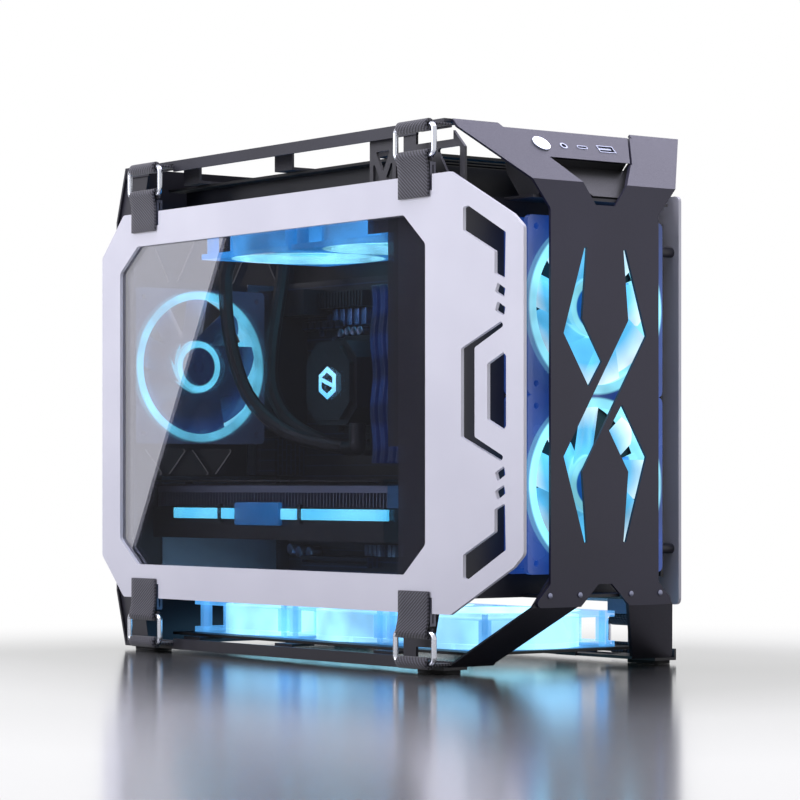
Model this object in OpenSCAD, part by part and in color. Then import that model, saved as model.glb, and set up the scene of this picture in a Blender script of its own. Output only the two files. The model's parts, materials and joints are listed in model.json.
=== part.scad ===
// Open-frame computer case with a folded front plate, strapped side covers and lit fans.
// Millimetres, Z up. The front looks along -Y and the window is on the -X side.

/* [Frame] */
// Height of the top edge of the frame above the floor
case_h = 370.5; // [340:0.5:420]
// Width of the frame over its side rails
frame_w = 208; // [190:1:240]
// Depth from the front plate to the back of the rear panel
frame_l = 458; // [450:1:520]
// Thickness of the folded steel sheet
sheet_t = 2; // [1.2:0.1:3]
// Thickness of the rubber pads under the frame
pad_h = 2.5; // [2:0.5:6]
// Height of the web of a side rail
rail_h = 8; // [6:0.5:14]
// Width of the inward flange of a side rail
rail_flange = 20; // [16:1:26]
// Distance that the top and the feet slope back from the front plate
front_rake = 42; // [30:1:60]
// Distance that the rear panel slopes in at its top and bottom
rear_rake = 13; // [6:1:24]
// Height of the sloping part at the top of the front and the rear
top_slope_h = 41; // [30:1:60]
// Height of the sloping feet
foot_slope_h = 42; // [34:1:60]

/* [Front plate] */
// Width of the narrow waist of the front plate
waist_w = 96; // [84:1:110]
// Width of the front plate at its two folds
fold_w = 127; // [118:1:150]
// Height over which the plate widens from the waist to a fold
flare_h = 19; // [12:1:30]
// Height over which the plate widens from the waist to the feet
foot_flare_h = 15.5; // [10:0.5:22]
// Sideways width of the crossing slots at their elbows
slot_w = 16.3; // [10:0.1:18]
// Height of the crossing slots from tip to tip
slots_h = 199; // [180:0.5:210]
// Depth of the notch in the top of the front plate
notch_depth = 14.8; // [8:0.2:18]
// Width of the notch at the top fold
notch_w = 39; // [30:1:46]

/* [Side covers] */
// Gap between the frame rails and the covers
cover_gap = 11.5; // [9:0.5:16]
// Thickness of a side cover
cover_t = 2.5; // [1.5:0.1:3.5]
// Height of a side cover
cover_h = 291; // [270:1:310]
// Distance that the window cover reaches in front of the front plate
cover_reach = 57; // [48:1:64]
// Distance from the front plate to the front edge of the plain cover
plain_cover_front = 54; // [40:1:60]
// Distance from the back of the frame to the back edge of the covers
cover_back = 2; // [0:1:12]
// Thickness of the window glass
glass_t = 4; // [3:0.5:4.5]
// Width of the cover's rim around the window at the back
window_rim = 26; // [20:1:34]
// Height of the window
window_h = 241; // [200:1:250]
// Distance from the front plate to the front edge of the window
window_front = 46; // [40:1:60]

/* [Straps] */
// Width of the webbing
strap_w = 33; // [24:1:38]
// Thickness of the webbing
webbing_t = 2; // [1:0.1:2.4]
// Height of the outside of a strap ring
ring_h = 24; // [20:1:30]
// Diameter of the wire of a strap ring
ring_wire = 3.8; // [3:0.1:4.4]
// Distance from the front plate to the front straps
strap_front = 57; // [52:1:70]
// Distance from the front plate to the rear straps
strap_rear = 394; // [360:1:396]

/* [Fans] */
// Side of a fan frame
fan_size = 120; // [118:0.5:120]
// Depth of a fan
fan_d = 25; // [22:0.5:28]
// Distance between the screw holes of a fan
fan_hole_pitch = 105; // [100:0.5:106]
// Number of blades
fan_blades = 9; // [5:1:11]
// Diameter of the fan hub
hub_d = 40; // [34:1:44]
// Gap between the blades and the frame
tip_gap = 1.6; // [1:0.1:3]
// Radial clearance of a fan shaft in its bearing
shaft_clearance = 0.05; // [0.03:0.01:0.08]
// Gap between the front plate and the front fans
front_fan_gap = 7.5; // [5:0.5:10]

/* [Ports] */
// Diameter of the power button
button_d = 13.5; // [12:0.5:16]
// Travel of the power button
button_travel = 1.2; // [0.6:0.1:1.5]
// Diameter of the audio jack hole
jack_d = 3.6; // [3.5:0.1:4]
// Depth of the audio jack hole
jack_depth = 14; // [10:1:16]

/* [Inside] */
// Width and height of the square circuit board
board_size = 244; // [230:1:244]
// Distance from the circuit board to its carrier
board_standoff = 6.4; // [5:0.2:8]
// Distance of the board's carrier from the middle of the case
carrier_x = 64; // [62:0.5:70]
// Height of the underside of the graphics card
card_z = 86; // [80:1:90]
// Thickness of the graphics card
card_h = 44; // [40:1:48]
// Length of the graphics card
card_l = 308; // [270:1:312]
// Depth of the power supply
supply_d = 86; // [80:1:100]
// Height of the power supply
supply_h = 150; // [140:1:152]
// Length of the power supply
supply_l = 140; // [130:1:160]
// Thickness of the radiator
radiator_t = 28; // [24:1:30]
// Diameter of the coolant tubes
tube_d = 11; // [9:0.5:12]
// Width of the pump block
pump_w = 64; // [56:1:66]
// Number of memory modules
memory_count = 4; // [2:1:4]
// Distance between two memory modules
memory_pitch = 10; // [9:0.5:11]

/* [Hidden] */
$fn = 48;

eps = 0.01;
seat = 0.2;
half_w = frame_w / 2;
front_y = 0;
rear_y = frame_l;
rear_inner_y = rear_y - sheet_t;
mid_y = (rear_y - cover_reach) / 2;
z_mid = (case_h + pad_h) / 2;
top_fold_z = case_h - top_slope_h;
low_fold_z = pad_h + foot_slope_h;

roof_drop = 16;
roof_top_z = case_h - roof_drop;
floor_rise = 8.5;
floor_bottom_z = pad_h + floor_rise;
floor_top_z = floor_bottom_z + sheet_t;
plate_half_w = fan_size / 2 + 14;

front_fan_y = front_y + sheet_t + front_fan_gap;
bracket_y = front_fan_y + fan_d;
bracket_back_y = bracket_y + sheet_t;
flange_y0 = front_y + 22;
flange_y1 = front_y + 70;
flange_half_h = 125;

cover_x = half_w + cover_gap;
cover_front_y = front_y - cover_reach;
cover_rear_y = rear_y - cover_back;
cover_half_h = cover_h / 2;
window_half_h = window_h / 2;

roof_fan_z = roof_top_z - sheet_t - radiator_t;
roof_fan_gap = 51;
roof_fan_rear_y = rear_inner_y - roof_fan_gap - fan_size / 2;
floor_fan_gap = 57;
floor_fan_front_y = front_y + floor_fan_gap + fan_size / 2;
rear_fan_gap = 0.1;
rear_fan_x = fan_size / 2 + sheet_t + rear_fan_gap - half_w;
rear_fan_y = rear_inner_y;

board_x = carrier_x - board_standoff;
board_t = 1.6;
board_face_x = board_x - board_t;
board_rear_y = rear_inner_y - 4;
board_front_y = board_rear_y - board_size;
board_headroom = 11.5;
board_top_z = roof_fan_z - fan_d - board_headroom;
board_bottom_z = board_top_z - board_size;
rear_fan_drop = 9.5;
rear_fan_z = board_top_z - rear_fan_drop - fan_size / 2;

hub_r = hub_d / 2;
shaft_r = 2;
fan_bore_r = fan_size / 2 - 2.2;

// One vertex of an outline turned into an arc of radius r
function unit(v) = v / norm(v);
function near_turn(a) = a > 180 ? a - 360 : a < -180 ? a + 360 : a;
function corner_arc(a, p, b, r, steps) =
    let (u = unit(a - p),
        v = unit(b - p),
        half = acos(u * v) / 2,
        centre = p + unit(u + v) * r / sin(half),
        start = p + u * r / tan(half) - centre,
        finish = p + v * r / tan(half) - centre,
        a0 = atan2(start.y, start.x),
        turn = near_turn(atan2(finish.y, finish.x) - a0))
    [for (i = [0:steps]) centre + r * [cos(a0 + turn * i / steps), sin(a0 + turn * i / steps)]];
function flat(p) = [p.x, p.y];
// Every corner of an outline gets radius r, or its own third number
function rounded(pts, r, steps = 3) =
    [for (i = [0:len(pts) - 1])
        let (p = pts[i],
            own_r = len(p) > 2 ? p[2] : r,
            before = flat(pts[(i + len(pts) - 1) % len(pts)]),
            after = flat(pts[(i + 1) % len(pts)]))
        each own_r > 0 ? corner_arc(before, flat(p), after, own_r, steps) : [flat(p)]];
function mirror_x(pts) = [for (i = [len(pts) - 1:-1:0]) let (p = pts[i]) len(p) > 2 ? [-p.x, p.y, p[2]] : [-p.x, p.y]];
function mirror_z(pts) = [for (i = [len(pts) - 1:-1:0]) let (p = pts[i]) len(p) > 2 ? [p.x, -p.y, p[2]] : [p.x, -p.y]];

// The case is drawn from its front plate and stands on the middle of its footprint
module in_frame() {
    translate([0, -mid_y, 0]) children();
}

// An outline in Y and Z, as thick as t from x upwards
module plate_yz(x, t) {
    translate([x, 0, 0]) rotate([90, 0, 90]) linear_extrude(t) children();
}

// An outline in X and Z, as thick as t from y backwards
module plate_xz(y, t) {
    translate([0, y + t, 0]) rotate([90, 0, 0]) linear_extrude(t) children();
}

// A block given by its lowest and highest corners
module block(low, high) {
    translate(low) cube(high - low);
}

module on_both_sides() {
    children();
    mirror([1, 0, 0]) children();
}

module above_and_below() {
    children();
    translate([0, 0, 2 * z_mid]) mirror([0, 0, 1]) children();
}

// A row of triangular openings between slanted bars, in a field from p0 to p1
module truss_field(p0, p1, cells, bar) {
    pitch = (p1.x - p0.x) / (cells + 1);
    for (i = [0:cells - 1]) {
        x0 = p0.x + i * pitch;
        up = i % 2 == 0;
        foot = up ? p0.y : p1.y;
        head = up ? p1.y : p0.y;
        polygon(rounded([[x0 + bar / 2, foot], [x0 + 2 * pitch - bar * 1.5, foot],
            [x0 + pitch - bar / 2, head]], 1.5));
    }
}

slope_angle = atan2(top_slope_h, front_rake);
slope_l = norm([front_rake, top_slope_h]);
strip_s = slope_l * 0.43;
strip_x = 34;
strip_step = 3;
strip_top_x = 54;
strip_right_x = 37;
strip_top_right_x = 57;
corner_cut = 6;
corner_cut_h = 6.6;
wing_gap = 2;
port_s = slope_l * 0.66;
button_at = [-33.5, port_s];
jack_at = [-13.5, port_s];
usb_c_at = [3, port_s];
usb_a_at = [24.5, port_s];
button_clearance = 0.1;
port_clearance = 0.1;
usb_c_size = [9.2, 3.4];
usb_a_size = [14.6, 7.2];
housing_depth = 17;

// Height of the underside of the sloping top plate at a depth y
function slope_under_z(y) = top_fold_z + y * tan(slope_angle) - sheet_t / cos(slope_angle);

// The plane of the sloping top plate: X along the case, Y up the slope, Z out of the plate
module on_slope() {
    translate([0, front_y, top_fold_z]) rotate([slope_angle, 0, 0]) children();
}

module rounded_bar(size, r) {
    square([size.x - 2 * r, size.y], center = true);
    square([size.x, size.y - 2 * r], center = true);
    for (sx = [-1, 1]) for (sy = [-1, 1])
        translate([sx * (size.x / 2 - r), sy * (size.y / 2 - r)]) circle(r);
}

elbow_in_x = 20.5;
elbow_out_x = elbow_in_x + slot_w;
elbow_in_h = 51.3;
elbow_out_h = 41.2;
tip_x = 17.3;
tip_w = 2.4;
tip_drop = 0.5;
limb_in_share = 0.305;
limb_out_share = 0.385;

// The long slot of the crossing pair, from the upper right tip to the lower left tip
module long_slot() {
    tip_in = [tip_x - tip_w / 2, slots_h / 2];
    tip_out = [tip_x + tip_w / 2, slots_h / 2 - tip_drop];
    polygon(rounded([tip_in, [elbow_in_x, elbow_in_h], [-elbow_out_x, -elbow_out_h], -tip_out,
        -tip_in, [-elbow_in_x, -elbow_in_h], [elbow_out_x, elbow_out_h], tip_out], 0.9));
}

// One of the two short slots, which stop at the long one
module short_slot() {
    run = [elbow_in_x + elbow_out_x, -elbow_in_h - elbow_out_h];
    polygon(rounded([[tip_w / 2 - tip_x, slots_h / 2, 0.9], [-tip_w / 2 - tip_x, slots_h / 2 - tip_drop, 0.9],
        [-elbow_out_x, elbow_out_h],
        [-elbow_out_x, elbow_out_h] + run * limb_out_share,
        [-elbow_in_x, elbow_in_h] + run * limb_in_share, [-elbow_in_x, elbow_in_h]], 0.6));
}

module crossing_slots() {
    long_slot();
    short_slot();
    rotate(180) short_slot();
}

arch_w = 43;
arch_top_w = 12;
arch_h = 15;
notch_floor_w = 17;
module port_openings(clear) {
    translate(button_at) circle(button_d / 2 + button_clearance);
    translate(jack_at) circle(jack_d / 2 + 1.2 + clear);
    translate(usb_c_at) rounded_bar(usb_c_size + [2, 2] * clear, 1.6);
    translate(usb_a_at) square(usb_a_size + [2, 2] * clear, center = true);
}

// Outlines above the fold are drawn as seen from the front
strip_z = top_fold_z + strip_s * sin(slope_angle);
step_z = case_h - strip_step;
panel_half = [[arch_top_w / 2, low_fold_z + arch_h, 2], [arch_w / 2, low_fold_z, 1],
    [fold_w / 2, low_fold_z, 3], [waist_w / 2, low_fold_z + foot_flare_h, 4],
    [waist_w / 2, top_fold_z - flare_h, 5], [fold_w / 2, top_fold_z, 0], [half_w, case_h, 0]];
fold_profile = [[front_y, low_fold_z], [front_y, top_fold_z], [front_y + front_rake, case_h],
    [front_y + front_rake + sheet_t * sin(slope_angle), case_h - sheet_t * cos(slope_angle)],
    [front_y + sheet_t, slope_under_z(front_y + sheet_t)], [front_y + sheet_t, low_fold_z]];

// A sheet folded to a profile in Y and Z, and cut to an outline in X and Z
module folded_sheet(profile, outline) {
    intersection() {
        plate_yz(-half_w, frame_w) polygon(profile);
        plate_xz(front_y - 1, foot_y + foot_l + 2) polygon(outline);
    }
}

// The V between the wings, the slanted gap beside the strip, and the step behind it
module wing_openings() {
    polygon(rounded([[-notch_floor_w / 2, top_fold_z - notch_depth], [notch_floor_w / 2, top_fold_z - notch_depth],
        [notch_w / 2, top_fold_z], [strip_right_x + wing_gap, strip_z, 0], [-strip_x, strip_z, 0],
        [-notch_w / 2, top_fold_z]], 1));
    polygon([[strip_right_x, strip_z - 1], [strip_right_x + wing_gap, strip_z - 1],
        [strip_top_right_x + wing_gap, case_h + 1], [strip_top_right_x, case_h + 1]]);
    polygon([[-strip_top_x - strip_step, step_z], [strip_top_right_x + 1, step_z],
        [strip_top_right_x + 1, case_h + 1], [-strip_top_x - 2 * strip_step, case_h + 1]]);
    translate([-half_w - 1, case_h - corner_cut_h]) square([corner_cut + 1, corner_cut_h + 1]);
}

// One folded sheet: the cut front plate and the two wings with the port strip
module front_panel() {
    color("#45434f") in_frame() difference() {
        folded_sheet(fold_profile, rounded(concat(panel_half, mirror_x(panel_half)), 2));
        plate_xz(front_y - 1, sheet_t + 2) translate([0, z_mid]) crossing_slots();
        plate_xz(front_y - 1, front_rake + 4) wing_openings();
        sloped(1, sheet_t + 2) port_openings(port_clearance);
    }
}

leg_top_w = 41;
leg_foot_w = 37.2;
leg_foot_x = 61.3;
leg_foot_z = pad_h + sheet_t;
leg_angle = atan2(low_fold_z - leg_foot_z, front_rake);
foot_y = front_y + sheet_t + front_rake;
foot_l = 32;
brace_y = front_y + sheet_t;

// Height of the upper face of a leg at a depth y
function leg_top_z(y) = low_fold_z - (y - brace_y) * tan(leg_angle) + sheet_t / cos(leg_angle);

// Brace behind the front plate with its two sloping legs
module front_base() {
    foot_top_z = leg_foot_z + sheet_t;
    foot_in_y = brace_y + (low_fold_z + sheet_t / cos(leg_angle) - foot_top_z) / tan(leg_angle);
    brace_top_z = low_fold_z + foot_flare_h + 4;
    profile = [[brace_y, brace_top_z], [brace_y, low_fold_z], [foot_y, leg_foot_z],
        [foot_y + foot_l, leg_foot_z], [foot_y + foot_l, foot_top_z], [foot_in_y, foot_top_z],
        [brace_y + sheet_t, leg_top_z(brace_y + sheet_t)], [brace_y + sheet_t, brace_top_z]];
    half = [[arch_top_w / 2 + 2, low_fold_z + arch_h + 2], [fold_w / 2 - leg_top_w, low_fold_z],
        [leg_foot_x, foot_top_z], [leg_foot_x, leg_foot_z], [leg_foot_x + leg_foot_w, leg_foot_z],
        [leg_foot_x + leg_foot_w, foot_top_z], [fold_w / 2 - 1, low_fold_z], [waist_w / 2 - 1, brace_top_z]];
    color("#2b2a33") in_frame() folded_sheet(profile, concat(half, mirror_x(half)));
}

rail_y0 = front_y + front_rake + sheet_t * sin(slope_angle);
rail_y1 = rear_inner_y - rear_rake;
tab_w = 22;
tab_ys = [139, 260, 382];
tab_x = half_w - rail_flange;
tab_reach = 20;
strap_gap = 0.6;
strap_front_plain = 112;
left_strap_ys = [front_y + strap_front, front_y + strap_rear];
right_strap_ys = [front_y + strap_front_plain, front_y + strap_rear];
slot_top_z = case_h - sheet_t - 0.4;

// One upper rail on the +X side, with tabs that reach down to a plate at the depth drop
module rail(drop, strap_ys, y0) {
    difference() {
        union() {
            block([half_w - sheet_t, y0, case_h - rail_h], [half_w, rail_y1, case_h]);
            block([half_w - rail_flange, y0, case_h - sheet_t], [half_w - sheet_t, rail_y1, case_h]);
        }
        for (y = strap_ys)
            block([half_w - sheet_t - 1, y - strap_w / 2 - strap_gap, case_h - rail_h - 1],
                [half_w + 1, y + strap_w / 2 + strap_gap, slot_top_z]);
    }
    for (y = tab_ys) {
        block([tab_x - sheet_t, y - tab_w / 2, case_h - drop], [tab_x, y + tab_w / 2, case_h]);
        block([tab_x - tab_reach, y - tab_w / 2, case_h - drop], [tab_x, y + tab_w / 2, case_h - drop + sheet_t]);
    }
}

module upper_rail_right() {
    color("#45434f") in_frame() rail(roof_drop, right_strap_ys, rail_y0);
}

module upper_rail_left() {
    color("#45434f") in_frame() mirror([1, 0, 0]) rail(roof_drop, left_strap_ys, rail_y0);
}

module to_floor() {
    translate([0, 0, 2 * z_mid]) mirror([0, 0, 1]) children();
}

module lower_rail_right() {
    color("#33323c") in_frame() to_floor() rail(floor_rise, right_strap_ys, foot_y);
}

module lower_rail_left() {
    color("#33323c") in_frame() to_floor() mirror([1, 0, 0]) rail(floor_rise, left_strap_ys, foot_y);
}

roof_y0 = front_y + 100;
roof_y1 = rear_y - 28;
roof_slot_pitch = 15;
roof_slot = [100, 7];

module roof_plate() {
    slot_count = floor((roof_y1 - roof_y0 - roof_slot_pitch) / roof_slot_pitch);
    color("#33323c") in_frame() translate([0, 0, roof_top_z - sheet_t]) linear_extrude(sheet_t) difference() {
        translate([-plate_half_w, roof_y0]) square([2 * plate_half_w, roof_y1 - roof_y0]);
        for (i = [1:slot_count])
            translate([0, roof_y0 + i * roof_slot_pitch]) rounded_bar(roof_slot, roof_slot.y / 2 - eps);
    }
}

floor_y0 = front_y + 50;
floor_y1 = rear_y - 34;

module floor_plate() {
    color("#2b2a33") in_frame() translate([0, 0, floor_bottom_z]) linear_extrude(sheet_t) difference() {
        translate([-plate_half_w, floor_y0]) square([2 * plate_half_w, floor_y1 - floor_y0]);
        for (i = [0:2]) translate([0, floor_fan_front_y + i * fan_size]) circle(fan_bore_r);
    }
}

module fan_opening() {
    circle(fan_bore_r);
    for (sx = [-1, 1]) for (sz = [-1, 1])
        translate([sx, sz] * fan_hole_pitch / 2) circle(2.2);
}

io_shield_w = 37.5;
io_shield_h = 152;
io_top_z = board_top_z - 2;
slot_pitch = 20.3;
slot_opening = [104, 14];
slot_top_centre_z = card_z + card_h - 6;
slot_x = board_face_x - slot_opening.x / 2 - 12;
inlet_at = [84, 76];
inlet_size = [27.4, 19.8];
gusset_h = 118;
truss_bar = 7;

module rear_openings() {
    translate([rear_fan_x, rear_fan_z]) fan_opening();
    translate([board_face_x - io_shield_w, io_top_z - io_shield_h]) square([io_shield_w, io_shield_h]);
    for (i = [0:3]) translate([slot_x, slot_top_centre_z - i * slot_pitch]) square(slot_opening, center = true);
    truss_field([-half_w + 8, rear_fan_z + fan_size / 2 + 6], [carrier_x - 4, top_fold_z - 6], 5, truss_bar);
    truss_field([-half_w + 8, slot_top_centre_z + 10], [board_face_x - io_shield_w - 6,
        rear_fan_z - fan_size / 2 - 4], 4, 5);
    translate(inlet_at) square(inlet_size + [0.6, 0.6], center = true);
    for (i = [0:6]) translate([inlet_at.x, inlet_at.y + 30 + i * 26]) rounded_bar([20, 8], 3);
}

// Folded rear panel with its side flanges
module rear_panel() {
    lean = [[rear_y - rear_rake, pad_h], [rear_y, low_fold_z], [rear_y, top_fold_z], [rear_y - rear_rake, case_h]];
    inner = [for (i = [3:-1:0]) lean[i] - [sheet_t, 0]];
    color("#3a3944") in_frame() {
        difference() {
            plate_yz(-half_w, frame_w) polygon(concat(lean, inner));
            plate_xz(rear_inner_y - 1, sheet_t + 2) rear_openings();
        }
        on_both_sides()
            block([half_w - sheet_t, rear_y - 28, z_mid - flange_half_h], [half_w, rear_inner_y, z_mid + flange_half_h]);
    }
}

carrier_t = 2;
standoff_r = 3;
board_margin = 8;
side_pass = [22, 66];
top_pass = [120, 20];
pass_r = 8;
right_flange_y0 = front_y + 58;
cross_wall_y = flange_y1 + 20;

// Carrier for the circuit board, with its pressed standoffs and the flange that holds it to the right side
module motherboard_tray() {
    lower_z = board_bottom_z + 2;
    upper_z = roof_top_z - sheet_t;
    outline = [[bracket_back_y, lower_z + 12], [bracket_back_y + 12, lower_z], [rear_inner_y - 6, lower_z],
        [rear_inner_y, lower_z + 6], [rear_inner_y, top_fold_z - 6], [roof_y1, upper_z],
        [roof_y0, upper_z], [bracket_back_y, top_fold_z - 16]];
    color("#25242c") in_frame() {
        plate_yz(carrier_x, carrier_t) difference() {
            polygon(outline);
            for (z = [z_mid - 70, z_mid + 50]) translate([board_front_y - 24, z]) rounded_bar(side_pass, pass_r);
            translate([(board_front_y + board_rear_y) / 2, board_top_z + 26]) rounded_bar(top_pass, pass_r);
        }
        plate_xz(cross_wall_y, sheet_t) translate([carrier_x + 1, z_mid - wing_half_h])
            square([half_w - sheet_t - carrier_x, 2 * wing_half_h]);
        block([half_w - sheet_t, right_flange_y0, z_mid - flange_half_h],
            [half_w, cross_wall_y + sheet_t, z_mid + flange_half_h]);
        for (fy = [0, 0.5, 1]) for (fz = [0, 0.5, 1])
            translate([board_x, board_front_y + board_margin + fy * (board_size - 2 * board_margin),
                board_bottom_z + board_margin + fz * (board_size - 2 * board_margin)])
                rotate([0, 90, 0]) cylinder(r = standoff_r, h = board_standoff);
    }
}

bracket_half_w = half_w - 6;
bracket_low_z = low_fold_z + 6;
bracket_high_z = top_fold_z - 10;
wing_half_h = 115;
ear_x = 52;

// Sheet that carries the front fans, folded to the front plate and to the left side
module front_fan_bracket() {
    color("#2b2a33") in_frame() {
        plate_xz(bracket_y, sheet_t) difference() {
            union() {
                translate([-bracket_half_w, bracket_low_z])
                    square([bracket_half_w + carrier_x + carrier_t, bracket_high_z - bracket_low_z]);
                translate([-half_w + sheet_t, z_mid - wing_half_h])
                    square([half_w - sheet_t + carrier_x + carrier_t, 2 * wing_half_h]);
            }
            for (i = [-1, 1]) translate([0, z_mid + i * fan_size / 2]) fan_opening();
        }
        block([-fan_size / 2, front_y + 2 * sheet_t, bracket_high_z - sheet_t],
            [fan_size / 2, bracket_y + sheet_t, bracket_high_z]);
        block([-waist_w / 2 + 4, front_y + sheet_t, bracket_high_z - sheet_t],
            [waist_w / 2 - 4, bracket_y, bracket_high_z]);
        block([-waist_w / 2 + 4, front_y + 2 * sheet_t, bracket_low_z], [waist_w / 2 - 4, bracket_y, bracket_low_z + sheet_t]);
        block([-half_w, flange_y0, z_mid - flange_half_h],
            [sheet_t - half_w, cross_wall_y + sheet_t, z_mid + flange_half_h]);
        on_both_sides()
            plate_yz(ear_x, sheet_t) polygon(rounded([[front_y + 5, bracket_high_z - 1],
                [front_y + 24, bracket_high_z - 1, 0], [front_y + 39, bracket_high_z + 17],
                [front_y + 41, bracket_high_z + 26], [front_y + 35, bracket_high_z + 31],
                [front_y + 5, bracket_high_z + 5, 0]], 1.5));
    }
}

post_y0 = front_y + 77;
post_y1 = front_y + 91;
beam_z = case_h - 14.5;
side_truss_x = bracket_half_w;
side_truss_y = front_y + 105;
side_truss_w = 30;

// Outline of a rear truss against a slope of the given height
function rear_truss(slope_h) = [[rear_y - 28, z_mid + gusset_h], [rear_inner_y, z_mid + gusset_h],
    [rear_inner_y, case_h - slope_h],
    [rear_inner_y - rear_rake * (slope_h - sheet_t) / slope_h, case_h - sheet_t], [rear_y - 44, case_h - sheet_t]];

// Cut sheets in the upper and lower corners of the frame
module frame_trusses() {
    y0 = flange_y0 + 2;
    y1 = flange_y0 + 14;
    base_z = z_mid + gusset_h;
    under_flange_z = case_h - sheet_t;
    front_outline = [[y0, base_z], [post_y1, base_z], [post_y1, under_flange_z], [post_y0, under_flange_z],
        [post_y0, beam_z], [y1, beam_z], [y1, slope_under_z(y1)], [y0, slope_under_z(y0)]];
    post = [[post_y1, base_z], [post_y1, under_flange_z], [post_y0, under_flange_z], [post_y0, beam_z]];
    low_outline = concat([[y1 + 10, base_z]], post, [[y1 + 24, beam_z]]);
    right_outline = concat([[right_flange_y0 + 4, base_z]], post, [[right_flange_y0 + 8, beam_z]]);
    rear_z = top_fold_z;
    side_x = half_w - 2 * sheet_t;
    color("#2b2a33") in_frame() {
        mirror([1, 0, 0]) plate_yz(side_x, sheet_t) difference() {
            polygon(front_outline);
            polygon(rounded([[y0 + 5, base_z + 10], [y0 + 5, beam_z - 5], [y0 + 30, beam_z - 5]], 1.5));
            polygon(rounded([[y0 + 12, base_z + 5], [y0 + 36, beam_z - 10], [y0 + 36, base_z + 5]], 1.5));
            polygon(rounded([[post_y0 - 12, base_z + 5], [post_y0 - 12, beam_z - 8], [post_y1 - 5, base_z + 5]], 1.5));
        }
        above_and_below() plate_yz(side_x, sheet_t) polygon(right_outline);
        to_floor() mirror([1, 0, 0]) plate_yz(side_x, sheet_t) polygon(low_outline);
        to_floor() on_both_sides() plate_yz(side_x, sheet_t) polygon(rear_truss(foot_slope_h));
        on_both_sides() plate_yz(side_x, sheet_t) difference() {
            polygon(rear_truss(top_slope_h));
            polygon(rounded([[rear_y - 24, base_z + 7], [rear_inner_y - 6, base_z + 7],
                [rear_inner_y - 6, rear_z - 4]], 1.5));
        }
        on_both_sides() plate_yz(side_truss_x - sheet_t, sheet_t) difference() {
            translate([side_truss_y, top_fold_z - 30]) square([side_truss_w, under_flange_z - top_fold_z + 30]);
            for (flip = [0, 1]) translate([0, flip * (2 * top_fold_z + 16)]) mirror([0, flip])
                polygon(rounded([[side_truss_y + 7, top_fold_z - 10], [side_truss_y + side_truss_w - 7, top_fold_z - 10],
                    [side_truss_y + side_truss_w / 2, top_fold_z + 5]], 1));
            translate([side_truss_y, top_fold_z + 8]) polygon(rounded([[4, -12], [4, 12], [11, 0]], 1));
            translate([side_truss_y + side_truss_w, top_fold_z + 8])
                polygon(rounded([[-4, -12], [-11, 0], [-4, 12]], 1));
        }
    }
}

notch_cut = 10.7;
notch_half_w = strap_w / 2 + 2;
cover_chamfer = 31;
rear_half = [[cover_rear_y, cover_half_h - cover_chamfer], [cover_rear_y - cover_chamfer, cover_half_h]];

module strap_notches(ys) {
    for (y = ys) for (side = [-1, 1])
        translate([y, side * cover_half_h]) square([2 * notch_half_w, 2 * notch_cut], center = true);
}

// Slots of the window cover's front part, upper half
module cover_slots() {
    polygon(rounded([[front_y + 5.4, 121], [front_y, 121.8], [front_y - 39, 101.9], [front_y - 38.1, 72],
        [front_y - 27.4, 76], [front_y - 27.4, 90.4], [front_y + 5.4, 105.9]], 1));
    for (step = [0, 12])
        polygon(rounded([[front_y - 30.5, 70 - step], [front_y - 38.6, 65.8 - step],
            [front_y - 37.3, 60 - step], [front_y - 27.9, 64.2 - step]], 1));
}

module left_cover() {
    front_part = [[front_y + 19, cover_half_h], [cover_front_y + 10.5, cover_half_h - 32.5],
        [cover_front_y, cover_half_h - 41]];
    window_part = [[front_y + window_front, window_half_h - 20.5], [front_y + window_front + 24, window_half_h],
        [cover_rear_y - window_rim - 25, window_half_h], [cover_rear_y - window_rim, window_half_h - 19]];
    bracket_half = [[front_y - 34, 45], [front_y + 7.5, 29]];
    bracket_inner = [[front_y - 6.8, 29], [front_y - 37.3, 42]];
    hex_half = [[front_y - 19.9, 18], [front_y - 36.4, 25], [front_y - 39.3, 22.5]];
    color("#d3d3de") in_frame() plate_yz(-cover_x - cover_t, cover_t) translate([0, z_mid]) difference() {
        polygon(rounded(concat(front_part, mirror_z(front_part), mirror_z(rear_half), rear_half), 4));
        polygon(rounded(concat(window_part, mirror_z(window_part)), 4));
        strap_notches(left_strap_ys);
        cover_slots();
        mirror([0, 1]) cover_slots();
        polygon(rounded(concat(bracket_half, mirror_z(bracket_half), mirror_z(bracket_inner), bracket_inner), 1.5));
        polygon(rounded(concat(hex_half, mirror_z(hex_half)), 1));
    }
}

glass_lap = 8;
glass_lap_z = 6.3;

module window_glass() {
    glass_part = [[front_y + window_front - glass_lap, window_half_h - 24],
        [front_y + window_front + 20, window_half_h + glass_lap_z],
        [cover_rear_y - window_rim - 21, window_half_h + glass_lap_z],
        [cover_rear_y - window_rim + glass_lap, window_half_h - 22]];
    color("#9fb4c4", 0.35) in_frame() plate_yz(-cover_x, glass_t) translate([0, z_mid])
        polygon(concat(glass_part, mirror_z(glass_part)));
}

module right_cover() {
    front_part = [[front_y + plain_cover_front, cover_half_h]];
    color("#d3d3de") in_frame() plate_yz(cover_x, cover_t) translate([0, z_mid]) difference() {
        polygon(rounded(concat(front_part, mirror_z(front_part), mirror_z(rear_half), rear_half), 4));
        strap_notches(right_strap_ys);
    }
}

pin_r = 3.5;
pin_rear_y = rear_y - 14;
pin_drop = 105.5;

// Pins on which the two covers rest
module cover_standoffs() {
    color("#2b2a33") in_frame() above_and_below() {
        for (y = [front_y + 31, pin_rear_y])
            translate([-cover_x, y, z_mid + pin_drop]) rotate([0, 90, 0]) cylinder(r = pin_r, h = cover_gap);
        for (y = [front_y + 62, pin_rear_y])
            translate([half_w, y, z_mid + pin_drop]) rotate([0, 90, 0]) cylinder(r = pin_r, h = cover_gap);
    }
}

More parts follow.
